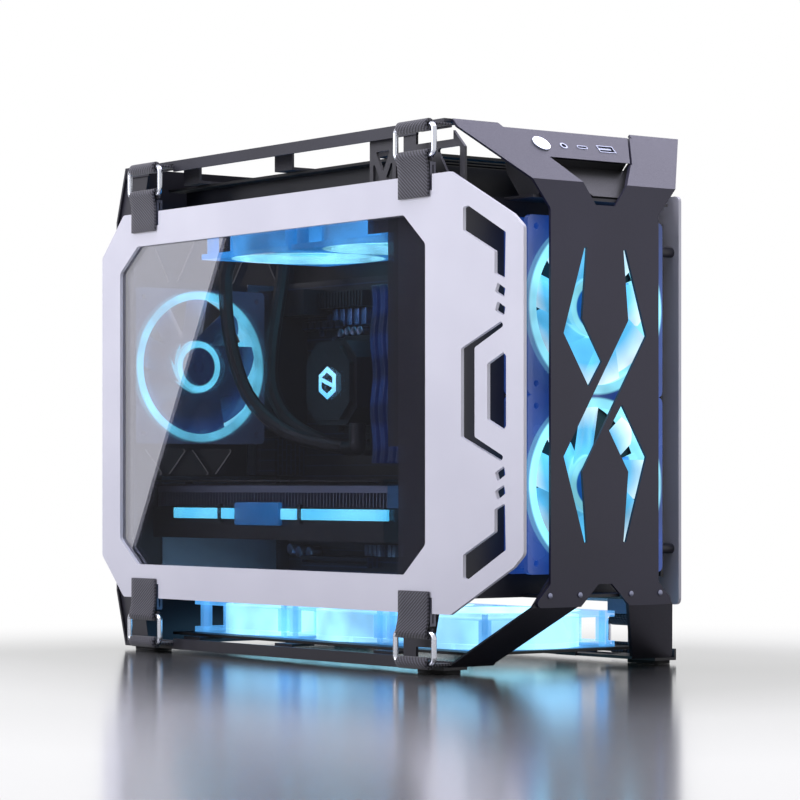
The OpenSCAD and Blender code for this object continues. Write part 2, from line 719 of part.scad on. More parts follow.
wire_r = ring_wire / 2;
leg_x = cover_x + cover_t + 0.3;
ring_x = leg_x;
ring_top_z = case_h - 5.4;
ring_low_z = ring_top_z - ring_h + ring_wire;
ring_y = 21.1;
ring_bend = 4;
loop_r = wire_r + 0.3;
loop_out_r = loop_r + webbing_t;
leg_bottom_z = z_mid + 130.5;
rail_leg_z = ring_top_z + 0.2;
stop_x0 = half_w - 2 * sheet_t - 1;
stop_x1 = half_w - sheet_t - 0.2;
stop_half_w = strap_w / 2 + 1.9;
hook_top_z = ring_low_z - loop_out_r - 0.3;
hook_lip_x = cover_x - 0.3;

// Drawn for an upper strap on the +X side, and repeated at all eight straps
module at_straps() {
    above_and_below() {
        for (y = right_strap_ys) translate([0, y, 0]) children();
        mirror([1, 0, 0]) for (y = left_strap_ys) translate([0, y, 0]) children();
    }
}

// A profile in X and Z made into a band of width w along Y
module band(w) {
    rotate([90, 0, 0]) linear_extrude(w, center = true) children();
}

module webbing_loop(z) {
    translate([ring_x, z]) difference() {
        circle(loop_out_r);
        circle(loop_r);
    }
}

module panel_straps() {
    color("#3a3940") in_frame() at_straps() band(strap_w) {
        webbing_loop(ring_low_z);
        polygon([[ring_x + loop_r, ring_low_z], [ring_x + loop_out_r, ring_low_z],
            [ring_x + loop_out_r, ring_low_z - loop_r], [leg_x + webbing_t, ring_low_z - 3 * loop_r],
            [leg_x + webbing_t, leg_bottom_z], [leg_x, leg_bottom_z],
            [leg_x, ring_low_z - 3 * loop_r], [ring_x + loop_r, ring_low_z - loop_r - 0.4]]);
    }
}

module rail_straps() {
    color("#3a3940") in_frame() at_straps() {
        band(strap_w) {
            webbing_loop(ring_top_z);
            translate([stop_x0, rail_leg_z]) square([ring_x - 3 - stop_x0, webbing_t]);
        }
        block([stop_x0, -stop_half_w, case_h - rail_h], [stop_x1, stop_half_w, slot_top_z]);
    }
}

// A quarter of a ring corner, centred where both bars start to bend
module ring_corner() {
    rotate_extrude(angle = 90) translate([ring_bend, 0]) circle(wire_r);
}

module strap_rings() {
    ring_mid_z = (ring_top_z + ring_low_z) / 2;
    half_z = (ring_top_z - ring_low_z) / 2;
    color("#c9ccd4") in_frame() at_straps() translate([ring_x, 0, ring_mid_z]) rotate([90, 0, 90]) {
        for (side = [-1, 1]) {
            translate([ring_bend - ring_y, side * half_z, 0]) rotate([0, 90, 0])
                cylinder(r = wire_r, h = 2 * (ring_y - ring_bend));
            translate([side * ring_y, ring_bend - half_z, 0]) rotate([-90, 0, 0])
                cylinder(r = wire_r, h = 2 * (half_z - ring_bend));
        }
        for (turn = [0, 180]) rotate(turn) {
            translate([ring_y - ring_bend, half_z - ring_bend, 0]) ring_corner();
            translate([ring_bend - ring_y, half_z - ring_bend, 0]) rotate(90) ring_corner();
        }
    }
}

// Folded plates that carry the strap ends and reach behind the covers
module strap_hooks() {
    color("#55545e") in_frame() at_straps() {
        block([leg_x - 0.2 - sheet_t, -strap_w / 2, z_mid + cover_half_h - notch_cut + seat],
            [leg_x - 0.2, strap_w / 2, hook_top_z]);
        block([hook_lip_x - sheet_t, -strap_w / 2, hook_top_z - sheet_t], [leg_x - 0.2 - sheet_t, strap_w / 2, hook_top_z]);
        block([hook_lip_x - sheet_t, -strap_w / 2, z_mid + 128.5], [hook_lip_x, strap_w / 2, hook_top_z]);
    }
}

collar_w = 1.5;
collar_t = 1.4;
collar_gap = 0.3;
button_pocket = 7.5;
funnel_depth = 8;
funnel_lap = 4;

// Drawn in the slope's plane with its top at height w
module sloped(w, h) {
    on_slope() translate([0, 0, w - h]) linear_extrude(h) children();
}

// Dark box under the strip with the ports, and the funnel in front of it
module port_housing() {
    color("#1f1e26") in_frame() {
        difference() {
            sloped(-sheet_t, housing_depth)
                polygon([[1 - strip_x, strip_s + 1], [strip_right_x - 1, strip_s + 1],
                    [strip_top_right_x - 5, slope_l - 5], [-strip_top_x + 5, slope_l - 5]]);
            sloped(-sheet_t + eps, button_pocket) translate(button_at) circle(button_d / 2 + collar_w + 0.3);
            sloped(-sheet_t + eps, housing_depth - 1.5) {
                translate(jack_at) circle(jack_d / 2 + 1.2 + port_clearance);
                translate(usb_c_at) rounded_bar(usb_c_size + [2, 2] * port_clearance, 1.6);
                translate(usb_a_at) square(usb_a_size + [2, 2] * port_clearance, center = true);
            }
        }
        sloped(-funnel_depth, sheet_t) polygon([[3 - strip_x, strip_s + 2],
            [strip_right_x + funnel_lap, strip_s + 2], [notch_w / 2 + funnel_lap, -4], [-notch_floor_w / 2, -4]]);
    }
}

module power_button() {
    color("#e8ebf2") in_frame() {
        sloped(1, sheet_t + 1 + collar_gap + collar_t) translate(button_at) circle(button_d / 2);
        sloped(-sheet_t - collar_gap, collar_t) translate(button_at) circle(button_d / 2 + collar_w);
    }
}

module audio_jack() {
    color("#b9bcc6") in_frame() difference() {
        sloped(0.3, jack_depth + 1.3) translate(jack_at) circle(jack_d / 2 + 1.2);
        sloped(0.3 + eps, jack_depth + eps) translate(jack_at) circle(jack_d / 2);
    }
}

shell_t = 0.7;
tongue_t = 1.9;

module usb_ports() {
    deep = housing_depth - 2;
    color("#c7cad2") in_frame() {
        difference() {
            sloped(0.3, deep) translate(usb_c_at) rounded_bar(usb_c_size, 1.6);
            sloped(0.3 + eps, deep - 2) translate(usb_c_at) rounded_bar(usb_c_size - [2, 2] * shell_t, 0.9);
        }
        difference() {
            sloped(0.3, deep) translate(usb_a_at) square(usb_a_size, center = true);
            sloped(0.3 + eps, deep - 2) translate(usb_a_at) square(usb_a_size - [2, 2] * shell_t, center = true);
        }
        sloped(-0.5, deep - 2) {
            translate(usb_c_at) square([6.6, 0.7], center = true);
            translate(usb_a_at) translate([0, 1]) square([11, tongue_t], center = true);
        }
    }
}

foot_pad = [16, 32];

module rubber_feet() {
    color("#18171b") in_frame() on_both_sides() for (y = [front_y + 62, rear_y - 38])
        translate([half_w - rail_flange / 2, y, 0]) linear_extrude(pad_h) rounded_bar(foot_pad, 4);
}

fan_wall = 2;
fan_flange_t = 4;
motor_t = 3.5;
motor_r = hub_r + 1;
bearing_r = 4;
bearing_h = 13;
rotor_z = motor_t + 0.6;
rotor_h = 18;
blade_z0 = rotor_z + 0.5;
blade_z1 = fan_d - 5;
blade_tip_r = fan_bore_r - tip_gap;
blade_pitch = 32;
blade_t = 1.5;
blade_bow_r = 60;
lip_w = 5.2;
lip_t = 3;

// A fan's frame on its back, with the motor holder below and the lit lip on top
module fan_frame() {
    difference() {
        union() {
            for (z = [0, fan_d - fan_flange_t])
                translate([0, 0, z]) linear_extrude(fan_flange_t) rounded_bar([fan_size, fan_size], 4);
            cylinder(r = fan_bore_r + fan_wall, h = fan_d);
            for (turn = [0:90:270]) rotate(turn)
                translate([fan_hole_pitch / 2, fan_hole_pitch / 2, 0]) cylinder(r = 4.5, h = fan_d);
        }
        translate([0, 0, -eps]) cylinder(r = fan_bore_r, h = fan_d + 2 * eps);
        for (turn = [0:90:270]) rotate(turn)
            translate([fan_hole_pitch / 2, fan_hole_pitch / 2, -eps]) cylinder(r = 2.15, h = fan_d + 2 * eps);
    }
    difference() {
        union() {
            cylinder(r = motor_r, h = motor_t);
            cylinder(r = bearing_r, h = bearing_h);
            for (turn = [0:90:270]) rotate(turn + 20)
                block([hub_r - 2, -2, 0], [fan_bore_r + fan_wall / 2, 2, motor_t]);
        }
        translate([0, 0, 1.5]) cylinder(r = shaft_r + shaft_clearance, h = bearing_h);
    }
    translate([0, 0, fan_d - lip_t]) difference() {
        cylinder(r = fan_bore_r + fan_wall / 2, h = lip_t);
        translate([0, 0, -eps]) cylinder(r = fan_bore_r - lip_w, h = lip_t + 2 * eps);
    }
}

// A pitched and bowed blade, cut to the ring that it may sweep
module blade(inner_r, tip_r, z0, z1, half_w) {
    mid_z = (z0 + z1) / 2;
    intersection() {
        translate([0, 0, z0]) difference() {
            cylinder(r = tip_r, h = z1 - z0);
            translate([0, 0, -eps]) cylinder(r = inner_r, h = z1 - z0 + 2 * eps);
        }
        translate([0, -half_w, z0]) cube([tip_r + 1, 2 * half_w, z1 - z0]);
        translate([0, 0, mid_z]) rotate([blade_pitch, 0, 0]) translate([0, 0, -blade_bow_r]) rotate([0, 90, 0])
            difference() {
                cylinder(r = blade_bow_r, h = tip_r + 1);
                translate([0, 0, -eps]) cylinder(r = blade_bow_r - blade_t, h = tip_r + 1 + 2 * eps);
            }
    }
}

// The hub cup with its shaft and blades
module fan_rotor() {
    difference() {
        translate([0, 0, rotor_z]) cylinder(r = hub_r, h = rotor_h);
        translate([0, 0, rotor_z - eps]) cylinder(r = hub_r - 2, h = rotor_h - 2 + eps);
    }
    translate([0, 0, 2]) cylinder(r = shaft_r, h = rotor_z + rotor_h - 3);
    for (i = [0:fan_blades - 1]) rotate(i * 360 / fan_blades)
        blade(hub_r - 1, blade_tip_r, blade_z0, blade_z1, 17);
}

module at_rear_fan() {
    translate([rear_fan_x, rear_fan_y, rear_fan_z]) rotate([90, 0, 0]) children();
}

module at_front_fan(side) {
    translate([0, bracket_y, z_mid + side * fan_size / 2]) rotate([90, 0, 0]) children();
}

module at_roof_fan(y) {
    translate([0, y, roof_fan_z]) rotate([180, 0, 0]) children();
}

module at_floor_fan(i) {
    translate([0, floor_fan_front_y + i * fan_size, floor_top_z]) children();
}

module lit_frame() {
    color("#bfe9f5") in_frame() children();
}

module rotor_tint() {
    color("#a9b4c6") in_frame() children();
}

module rear_fan_frame() { lit_frame() at_rear_fan() fan_frame(); }
module upper_front_fan_frame() { lit_frame() at_front_fan(1) fan_frame(); }
module lower_front_fan_frame() { lit_frame() at_front_fan(-1) fan_frame(); }
module roof_rear_fan_frame() { lit_frame() at_roof_fan(roof_fan_rear_y) fan_frame(); }
module roof_front_fan_frame() { lit_frame() at_roof_fan(roof_fan_rear_y - fan_size) fan_frame(); }
module floor_rear_fan_frame() { lit_frame() at_floor_fan(2) fan_frame(); }
module floor_middle_fan_frame() { lit_frame() at_floor_fan(1) fan_frame(); }
module floor_front_fan_frame() { lit_frame() at_floor_fan(0) fan_frame(); }
module rear_fan_rotor() { rotor_tint() at_rear_fan() fan_rotor(); }
module upper_front_fan_rotor() { rotor_tint() at_front_fan(1) fan_rotor(); }
module lower_front_fan_rotor() { rotor_tint() at_front_fan(-1) fan_rotor(); }
module roof_rear_fan_rotor() { rotor_tint() at_roof_fan(roof_fan_rear_y) fan_rotor(); }
module roof_front_fan_rotor() { rotor_tint() at_roof_fan(roof_fan_rear_y - fan_size) fan_rotor(); }
module floor_rear_fan_rotor() { rotor_tint() at_floor_fan(2) fan_rotor(); }
module floor_middle_fan_rotor() { rotor_tint() at_floor_fan(1) fan_rotor(); }
module floor_front_fan_rotor() { rotor_tint() at_floor_fan(0) fan_rotor(); }

tank_l = 20;
radiator_y0 = roof_fan_rear_y - fan_size * 1.5 - 19;
radiator_y1 = roof_fan_rear_y + fan_size / 2 + 21;
channel_pitch = 9.5;
channels = floor((fan_size / 2 - 3) / channel_pitch);
fitting_r = 8;
fitting_h = 13.5;
tube_x = [-24, 26];
tube_y = roof_fan_rear_y + fan_size / 2 + 10;

module radiator() {
    color("#3b3b45") in_frame() {
        for (y = [radiator_y0, radiator_y1 - tank_l])
            block([-fan_size / 2, y, roof_fan_z], [fan_size / 2, y + tank_l, roof_fan_z + radiator_t]);
        block([-fan_size / 2 + 2, radiator_y0 + 1, roof_fan_z + 1.2],
            [fan_size / 2 - 2, radiator_y1 - 1, roof_fan_z + radiator_t - 1.2]);
        for (i = [-channels:channels])
            block([i * channel_pitch - 1, radiator_y0 + 1, roof_fan_z + 0.3],
                [i * channel_pitch + 1, radiator_y1 - 1, roof_fan_z + radiator_t - 0.3]);
        on_both_sides() block([fan_size / 2 - 2, radiator_y0 + 1, roof_fan_z],
            [fan_size / 2, radiator_y1 - 1, roof_fan_z + radiator_t]);
        for (x = tube_x) translate([x, tube_y, roof_fan_z - fitting_h]) cylinder(r = fitting_r, h = fitting_h + 1);
    }
}

tube_sides = 10;
tube_steps = 4;
tube_r = tube_d / 2;
fitting_z = roof_fan_z - fitting_h;
pump_y0 = board_rear_y - 156;
pump_z0 = board_top_z - 116;
pump_x0 = 6;
elbow_y = pump_y0 + 10;
elbow_z = pump_z0 - 17;
elbow_l = 14;
elbow_r = 6.5;
elbow_xs = [18, 38];
first_route = [[tube_x[0], tube_y, fitting_z], [-25, 416, 300], [-29, 416, 284], [-30, 408, 240],
    [-22, 395, 196], [-6, 370, 168], [8, 340, 158], [elbow_xs[0], elbow_y + elbow_l, elbow_z]];
second_route = [[tube_x[1], tube_y, fitting_z], [25, 416, 292], [21, 416, 268], [11, 410, 232],
    [7, 403, 200], [15, 388, 174], [28, 354, 158], [elbow_xs[1], elbow_y + elbow_l, elbow_z]];

// A smooth curve through the points of a route
function blend(a, b, c, d, t) =
    0.5 * (2 * b + (c - a) * t + (2 * a - 5 * b + 4 * c - d) * t * t + (3 * b - a - 3 * c + d) * t * t * t);
function route_points(route) =
    let (last = len(route) - 1,
        before = concat([2 * route[0] - route[1]], route, [2 * route[last] - route[last - 1]]))
    [for (i = [0:last - 1]) for (k = [0:tube_steps - 1])
        blend(before[i], before[i + 1], before[i + 2], before[i + 3], k / tube_steps), route[last]];
function ring_at(points, i, end_dir) =
    let (last = len(points) - 1,
        along = i == 0 ? [0, 0, -1] : i == last ? end_dir : unit(points[i + 1] - points[i - 1]),
        u = unit(cross(along, [1, 0, 0])),
        v = cross(along, u))
    [for (k = [0:tube_sides - 1])
        points[i] + tube_r * (cos(k * 360 / tube_sides) * u + sin(k * 360 / tube_sides) * v)];

// A round tube swept along a route, closed at both ends
module swept_tube(route, end_dir) {
    points = route_points(route);
    rings = len(points);
    corners = [for (i = [0:rings - 1]) each ring_at(points, i, end_dir)];
    walls = [for (i = [0:rings - 2]) for (k = [0:tube_sides - 1])
        let (next = (k + 1) % tube_sides)
        each [[i * tube_sides + k, i * tube_sides + next, (i + 1) * tube_sides + k],
            [i * tube_sides + next, (i + 1) * tube_sides + next, (i + 1) * tube_sides + k]]];
    first_end = [for (k = [tube_sides - 1:-1:0]) k];
    last_end = [for (k = [0:tube_sides - 1]) (rings - 1) * tube_sides + k];
    polyhedron(corners, concat([for (f = walls) [f[0], f[2], f[1]]], [last_end, first_end]));
}

module coolant_tubes() {
    color("#26252c") in_frame() {
        swept_tube(first_route, [0, -1, 0]);
        swept_tube(second_route, [0, -1, 0]);
    }
}

pump_cut = 13;
plate_in_x = 44;

module cut_square(side, cut) {
    polygon([[cut, 0], [side - cut, 0], [side, cut], [side, side - cut],
        [side - cut, side], [cut, side], [0, side - cut], [0, cut]]);
}

module pump_block() {
    mid = pump_w / 2;
    color("#24232b") in_frame() {
        translate([0, pump_y0, pump_z0]) {
            plate_yz(pump_x0 + 4, plate_in_x - 4 - pump_x0) cut_square(pump_w, pump_cut);
            plate_yz(pump_x0, 4) translate([4, 4]) cut_square(pump_w - 8, pump_cut);
            plate_yz(plate_in_x, 3) translate([-6, -6]) cut_square(pump_w + 12, 8);
            plate_yz(plate_in_x + 3, board_face_x - plate_in_x - 3) translate([mid - 20, mid - 20]) square(40);
            for (sy = [-1, 1]) for (sz = [-1, 1]) translate([plate_in_x - 5, mid + sy * 34, mid + sz * 34])
                rotate([0, 90, 0]) cylinder(r = 2.6, h = board_face_x - plate_in_x + 5);
        }
        for (x = elbow_xs) {
            translate([x, elbow_y, elbow_z]) cylinder(r = elbow_r, h = pump_z0 - elbow_z + 1);
            translate([x, elbow_y, elbow_z]) rotate([-90, 0, 0]) cylinder(r = elbow_r, h = elbow_l);
            translate([x, elbow_y, elbow_z]) sphere(elbow_r);
        }
    }
}

slot_mid_z = card_z + card_h - 3.5;
card_y1 = board_rear_y + 3;
memory_y0 = board_front_y + 38;
memory_z0 = board_top_z - 146;
memory_l = 135;
memory_w = 38;
port_block_y = board_rear_y - 24;
card_slot_y = board_rear_y - 122;
card_slot_l = 89;

module motherboard() {
    color("#1b2a4a") in_frame() {
        block([board_face_x, board_front_y, board_bottom_z], [board_x, board_rear_y, board_top_z]);
        for (z = [slot_mid_z, slot_mid_z - 60.5]) difference() {
            block([board_face_x - 11, card_slot_y, z - 4], [board_face_x + 0.5, card_slot_y + card_slot_l, z + 4]);
            block([board_face_x - 12, card_slot_y + 1, z - 1],
                [board_face_x - 5.5, card_slot_y + card_slot_l - 1, z + 1]);
        }
        for (i = [0:memory_count - 1])
            block([board_face_x - 6, memory_y0 + i * memory_pitch, memory_z0 - 4],
                [board_face_x + 0.5, memory_y0 + i * memory_pitch + 7, memory_z0 + memory_l + 4]);
        block([board_face_x - 12, board_front_y + 3, board_top_z - 98],
            [board_face_x + 0.5, board_front_y + 14, board_top_z - 46]);
        block([board_face_x - 30, port_block_y, board_top_z - 154],
            [board_face_x + 0.5, board_rear_y + 2, board_top_z - 124]);
        for (i = [0:5]) translate([board_face_x - 9, board_rear_y - 80 + i * 9, board_top_z - 36])
            rotate([0, 90, 0]) cylinder(r = 3.6, h = 9.5);
        for (i = [0:4]) translate([board_face_x - 9, board_front_y + 92, board_bottom_z + 40 + i * 7])
            rotate([0, 90, 0]) cylinder(r = 2.6, h = 9.5);
    }
}

fin_w = 2;
vrm_fin_pitch = 4;
vrm_y0 = board_rear_y - 118;
vrm_y1 = board_rear_y - 58;
cover_top_z = board_top_z - 8;

// Coolers of the board: over the rear ports, along the top edge and on the control chip
module board_heatsinks() {
    fins = floor((vrm_y1 - vrm_y0 - fin_w) / vrm_fin_pitch);
    color("#32333f") in_frame() {
        block([board_face_x - 34, board_rear_y - 26, board_top_z - 118], [board_face_x, board_rear_y, cover_top_z]);
        block([board_face_x - 26, vrm_y1, board_top_z - 28], [board_face_x, board_rear_y - 25, cover_top_z]);
        block([board_face_x - 6, vrm_y0 - 44, cover_top_z - 16], [board_face_x, vrm_y1 + 1, cover_top_z]);
        for (i = [0:fins]) block([board_face_x - 13, vrm_y0 + i * vrm_fin_pitch, cover_top_z - 15],
            [board_face_x - 5, vrm_y0 + i * vrm_fin_pitch + fin_w, cover_top_z - 3]);
        block([board_face_x - 6, board_front_y + 17, board_bottom_z + 16],
            [board_face_x, board_front_y + 82, board_bottom_z + 40]);
    }
}

wave_count = 2.5;
wave_swing = 1.3;
wave_steps = 24;
spreader_t = 6;
module_t = 3;

// Free edge of a heat spreader, which waves along the module
function wavy_edge(x, z0, l) =
    [for (i = [0:wave_steps]) [x + wave_swing * sin(360 * wave_count * i / wave_steps), z0 + l * i / wave_steps]];

module memory_modules() {
    edge_x = board_face_x - 5 - memory_w;
    edge = wavy_edge(edge_x, memory_z0 + 1, memory_l - 2);
    color("#4a4c59") in_frame() for (i = [0:memory_count - 1])
        translate([0, memory_y0 + i * memory_pitch, 0]) {
            block([edge_x + 3, (7 - module_t) / 2, memory_z0], [board_face_x - 6, (7 + module_t) / 2, memory_z0 + memory_l]);
            plate_xz((7 - spreader_t) / 2, spreader_t) polygon(concat(edge,
                [[board_face_x - 11, memory_z0 + memory_l - 1], [board_face_x - 11, memory_z0 + 1]]));
        }
}

card_top_z = card_z + card_h;
card_x0 = -80;
card_y0 = card_y1 - card_l - 6;
cooler_y1 = card_y1 - 15;
board_z0 = slot_mid_z - 0.8;
card_fan_r = 44;
card_fan_ys = [cooler_y1 - 60, cooler_y1 - 155, cooler_y1 - 250];
card_fan_x = (card_x0 + 40) / 2;
shroud_top_z = card_z + 24;
fin_pitch = 4;

module graphics_board() {
    color("#1d2233") in_frame() {
        block([-70, card_y0 + 12, board_z0], [44, card_y1, board_z0 + board_t]);
        block([44, card_slot_y + 5, board_z0],
            [board_face_x - 6, card_slot_y + card_slot_l - 5, board_z0 + board_t]);
    }
}

module graphics_backplate() {
    color("#2a2b36") in_frame() {
        block([card_x0, card_y0, card_top_z - 1.4], [board_face_x - 12, cooler_y1, card_top_z]);
        for (x = [-60, 30]) for (y = [card_y0 + 25, (card_y0 + cooler_y1) / 2, cooler_y1 - 20])
            translate([x, y, board_z0 + board_t]) cylinder(r = 3, h = card_top_z - board_z0 - board_t - 1);
    }
}

// Fins are one comb outline, as long as the card is wide
module graphics_heatsink() {
    count = floor((cooler_y1 - card_y0 - 2) / fin_pitch);
    color("#aeb2bd") in_frame() {
        block([card_x0 + 4, card_y0 + 1, board_z0 - 5], [38, cooler_y1 - 1, board_z0]);
        for (i = [0:count]) block([card_x0 + 4, card_y0 + 1 + i * fin_pitch, shroud_top_z],
            [38, card_y0 + 2 + i * fin_pitch, board_z0 - 4]);
    }
}

module graphics_shroud() {
    color("#24232b") in_frame() difference() {
        block([card_x0, card_y0, card_z], [40, cooler_y1, shroud_top_z]);
        difference() {
            block([card_x0 + 2, card_y0 + 2, card_z + 2], [38, cooler_y1 - 2, shroud_top_z + 1]);
            for (y = card_fan_ys) {
                translate([card_fan_x, y, card_z]) cylinder(r = 3.8, h = card_h);
                translate([0, y, shroud_top_z - 3]) block([card_x0, -3, 0], [40, 3, 3]);
            }
        }
        for (y = card_fan_ys) {
            translate([card_fan_x, y, card_z - 1]) cylinder(r = card_fan_r + 2, h = 5);
            translate([card_fan_x, y, card_z - 1]) cylinder(r = shaft_r + shaft_clearance, h = shroud_top_z - card_z);
            translate([card_fan_x, y, card_z - 1]) cylinder(r = 8, h = 9);
        }
    }
}

module graphics_lights() {
    color("#8cebff") in_frame() {
        block([card_x0 - 2, card_y0 - 8, shroud_top_z - 10], [card_x0, cooler_y1 - 30, shroud_top_z]);
        block([card_x0 - 4, cooler_y1 - 193, shroud_top_z - 14], [card_x0, cooler_y1 - 118, shroud_top_z + 4]);
    }
}

module graphics_bracket() {
    color("#d9dbe2") in_frame() plate_xz(card_y1, 1) difference() {
        translate([slot_x - 54, slot_top_centre_z - slot_pitch - 9]) square([108, slot_pitch + 18]);
        for (i = [0, 1]) for (k = [-3:3])
            translate([slot_x + k * 14, slot_top_centre_z - i * slot_pitch - 2]) rounded_bar([11, 4], 1.9);
    }
}

module card_fan(y) {
    rotor_tint() translate([card_fan_x, y, card_z + 1]) {
        cylinder(r = 14, h = 1.5);
        translate([0, 0, 1]) difference() {
            cylinder(r = 14, h = 12);
            translate([0, 0, 1]) cylinder(r = 12, h = 12);
        }
        cylinder(r = shaft_r, h = 17);
        for (i = [0:fan_blades - 1]) rotate(i * 360 / fan_blades) blade(13, card_fan_r, 1, 13, 12);
    }
}

module graphics_rear_fan() { card_fan(card_fan_ys[0]); }
module graphics_middle_fan() { card_fan(card_fan_ys[1]); }
module graphics_front_fan() { card_fan(card_fan_ys[2]); }

supply_z0 = z_mid - 47;

module power_supply() {
    mid = [-6, bracket_back_y + supply_d, supply_z0 + supply_h / 2];
    color("#1c1c22") in_frame() difference() {
        block([carrier_x - supply_l, bracket_back_y, supply_z0],
            [carrier_x, bracket_back_y + supply_d, supply_z0 + supply_h]);
        translate([mid.x, mid.y + eps, mid.z]) rotate([90, 0, 0]) for (k = [2:8]) difference() {
            cylinder(r = k * 7, h = 3);
            translate([0, 0, -eps]) cylinder(r = k * 7 - 4, h = 3 + 2 * eps);
            for (turn = [0, 90]) rotate(turn) translate([-70, -3, -1]) cube([140, 6, 5]);
        }
    }
}

module supply_shroud() {
    color("#131318") in_frame() plate_yz(-side_truss_x - sheet_t, sheet_t)
        polygon([[bracket_back_y, z_mid - 34], [bracket_back_y, top_fold_z], [side_truss_y + 4, top_fold_z],
            [side_truss_y + 4, z_mid - 34]]);
}

module rear_cover_plates() {
    color("#8f929c") in_frame() {
        plate_xz(card_y1, 1) translate([slot_x - 54, slot_top_centre_z - 3 * slot_pitch - 9])
            square([108, slot_pitch + 17]);
        plate_xz(card_y1, 1) difference() {
            translate([board_face_x - io_shield_w, io_top_z - io_shield_h]) square([io_shield_w, io_shield_h]);
            for (i = [0:5]) translate([board_face_x - io_shield_w / 2, io_top_z - 20 - i * 22])
                rounded_bar([15, 13], 1);
        }
    }
}

inlet_flange = [31, 24];
inlet_depth = 24;
recess = [23, 15.5];

module power_inlet() {
    color("#1c1c22") in_frame() translate([inlet_at.x, 0, inlet_at.y]) {
        difference() {
            union() {
                plate_xz(rear_inner_y - inlet_depth, inlet_depth) rounded_bar(inlet_flange, 2);
                plate_xz(rear_inner_y - 1, sheet_t + 1) square(inlet_size, center = true);
            }
            plate_xz(rear_inner_y - 16, 20) rounded_bar(recess, 3);
        }
        for (x = [-7, 0, 7]) plate_xz(rear_inner_y - 17, 15)
            translate([x, x == 0 ? 3 : -2]) square([2, 4], center = true);
    }
}

front_panel();
front_base();
upper_rail_left();
upper_rail_right();
lower_rail_left();
lower_rail_right();
roof_plate();
floor_plate();
rear_panel();
motherboard_tray();
front_fan_bracket();
frame_trusses();
left_cover();
window_glass();
right_cover();
cover_standoffs();
panel_straps();
rail_straps();
strap_rings();
strap_hooks();
port_housing();
power_button();
audio_jack();
usb_ports();
rubber_feet();
radiator();
coolant_tubes();
pump_block();
motherboard();
board_heatsinks();
memory_modules();
graphics_board();
graphics_heatsink();
graphics_shroud();
graphics_backplate();
graphics_bracket();
graphics_lights();
power_supply();
supply_shroud();
rear_cover_plates();
power_inlet();
rear_fan_frame();
upper_front_fan_frame();
lower_front_fan_frame();
roof_rear_fan_frame();
roof_front_fan_frame();
floor_rear_fan_frame();
floor_middle_fan_frame();
floor_front_fan_frame();
rear_fan_rotor();
upper_front_fan_rotor();
lower_front_fan_rotor();
roof_rear_fan_rotor();
roof_front_fan_rotor();
floor_rear_fan_rotor();
floor_middle_fan_rotor();
floor_front_fan_rotor();
graphics_rear_fan();
graphics_middle_fan();
graphics_front_fan();
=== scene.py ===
# %% [markdown]
# The imported model is loaded first. It is the fixed frame that every later piece is placed in.

# %% Load the frame
import json
import math

import bmesh
import bpy
from mathutils import Matrix, Vector


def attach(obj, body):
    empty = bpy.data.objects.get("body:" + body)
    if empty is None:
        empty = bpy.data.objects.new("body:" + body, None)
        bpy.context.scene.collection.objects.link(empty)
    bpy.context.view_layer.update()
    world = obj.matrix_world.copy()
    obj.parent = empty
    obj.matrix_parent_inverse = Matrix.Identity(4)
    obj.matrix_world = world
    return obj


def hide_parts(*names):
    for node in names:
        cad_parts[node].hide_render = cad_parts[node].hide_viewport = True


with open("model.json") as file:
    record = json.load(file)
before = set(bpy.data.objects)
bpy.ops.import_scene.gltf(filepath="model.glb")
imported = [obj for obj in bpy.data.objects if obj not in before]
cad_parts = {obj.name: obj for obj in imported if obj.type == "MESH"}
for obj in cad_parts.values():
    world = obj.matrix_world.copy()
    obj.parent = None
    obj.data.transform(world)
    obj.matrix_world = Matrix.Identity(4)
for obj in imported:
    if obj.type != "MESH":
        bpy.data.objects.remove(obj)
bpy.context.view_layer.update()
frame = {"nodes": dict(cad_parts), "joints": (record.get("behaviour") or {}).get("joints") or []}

# %% [markdown]
# The camera stands where the photograph was taken from: level, low, and at the front left corner.
# A small upward shift keeps the uprights vertical, as a lens with a rising front does.

# %% Camera
MM = 0.001
FRONT_Y = -200.5 * MM
VIEW_TURN = math.radians(36.962)
FOCAL_PIXELS = 2997.651
HORIZON_PIXEL = 484.17
PHOTO_PIXELS = 800
SENSOR = 36.0
camera_data = bpy.data.cameras.new("camera")
camera_data.sensor_fit = "HORIZONTAL"
camera_data.sensor_width = SENSOR
camera_data.lens = FOCAL_PIXELS / PHOTO_PIXELS * SENSOR
camera_data.shift_y = (HORIZON_PIXEL - PHOTO_PIXELS / 2) / PHOTO_PIXELS
camera_data.clip_end = 50
camera = bpy.data.objects.new("camera", camera_data)
camera.location = (-1.326573, -1.732868, 0.126795)
camera.rotation_euler = (math.pi / 2, 0, -VIEW_TURN)
bpy.context.scene.collection.objects.link(camera)
bpy.context.scene.camera = camera
bpy.context.scene.view_settings.view_transform = "Standard"
print("lens", round(camera_data.lens, 1), "mm")

# %% [markdown]
# Materials are small node trees. These helpers make a tree, turn a screen colour into the linear
# colour that nodes use, and add grain, so that each finish below is only a few lines.

# %% Material helpers
def colour(text):
    parts = [int(text[i:i + 2], 16) / 255 for i in (1, 3, 5)]
    linear = [c / 12.92 if c < 0.04045 else ((c + 0.055) / 1.055) ** 2.4 for c in parts]
    return (*linear, 1.0)


def finish(name, base, roughness, metallic=0.0):
    material = bpy.data.materials.new(name)
    material.use_nodes = True
    nodes = material.node_tree.nodes
    shader = nodes["Principled BSDF"]
    shader.inputs["Base Color"].default_value = colour(base)
    shader.inputs["Roughness"].default_value = roughness
    shader.inputs["Metallic"].default_value = metallic
    return material, nodes, material.node_tree.links, shader


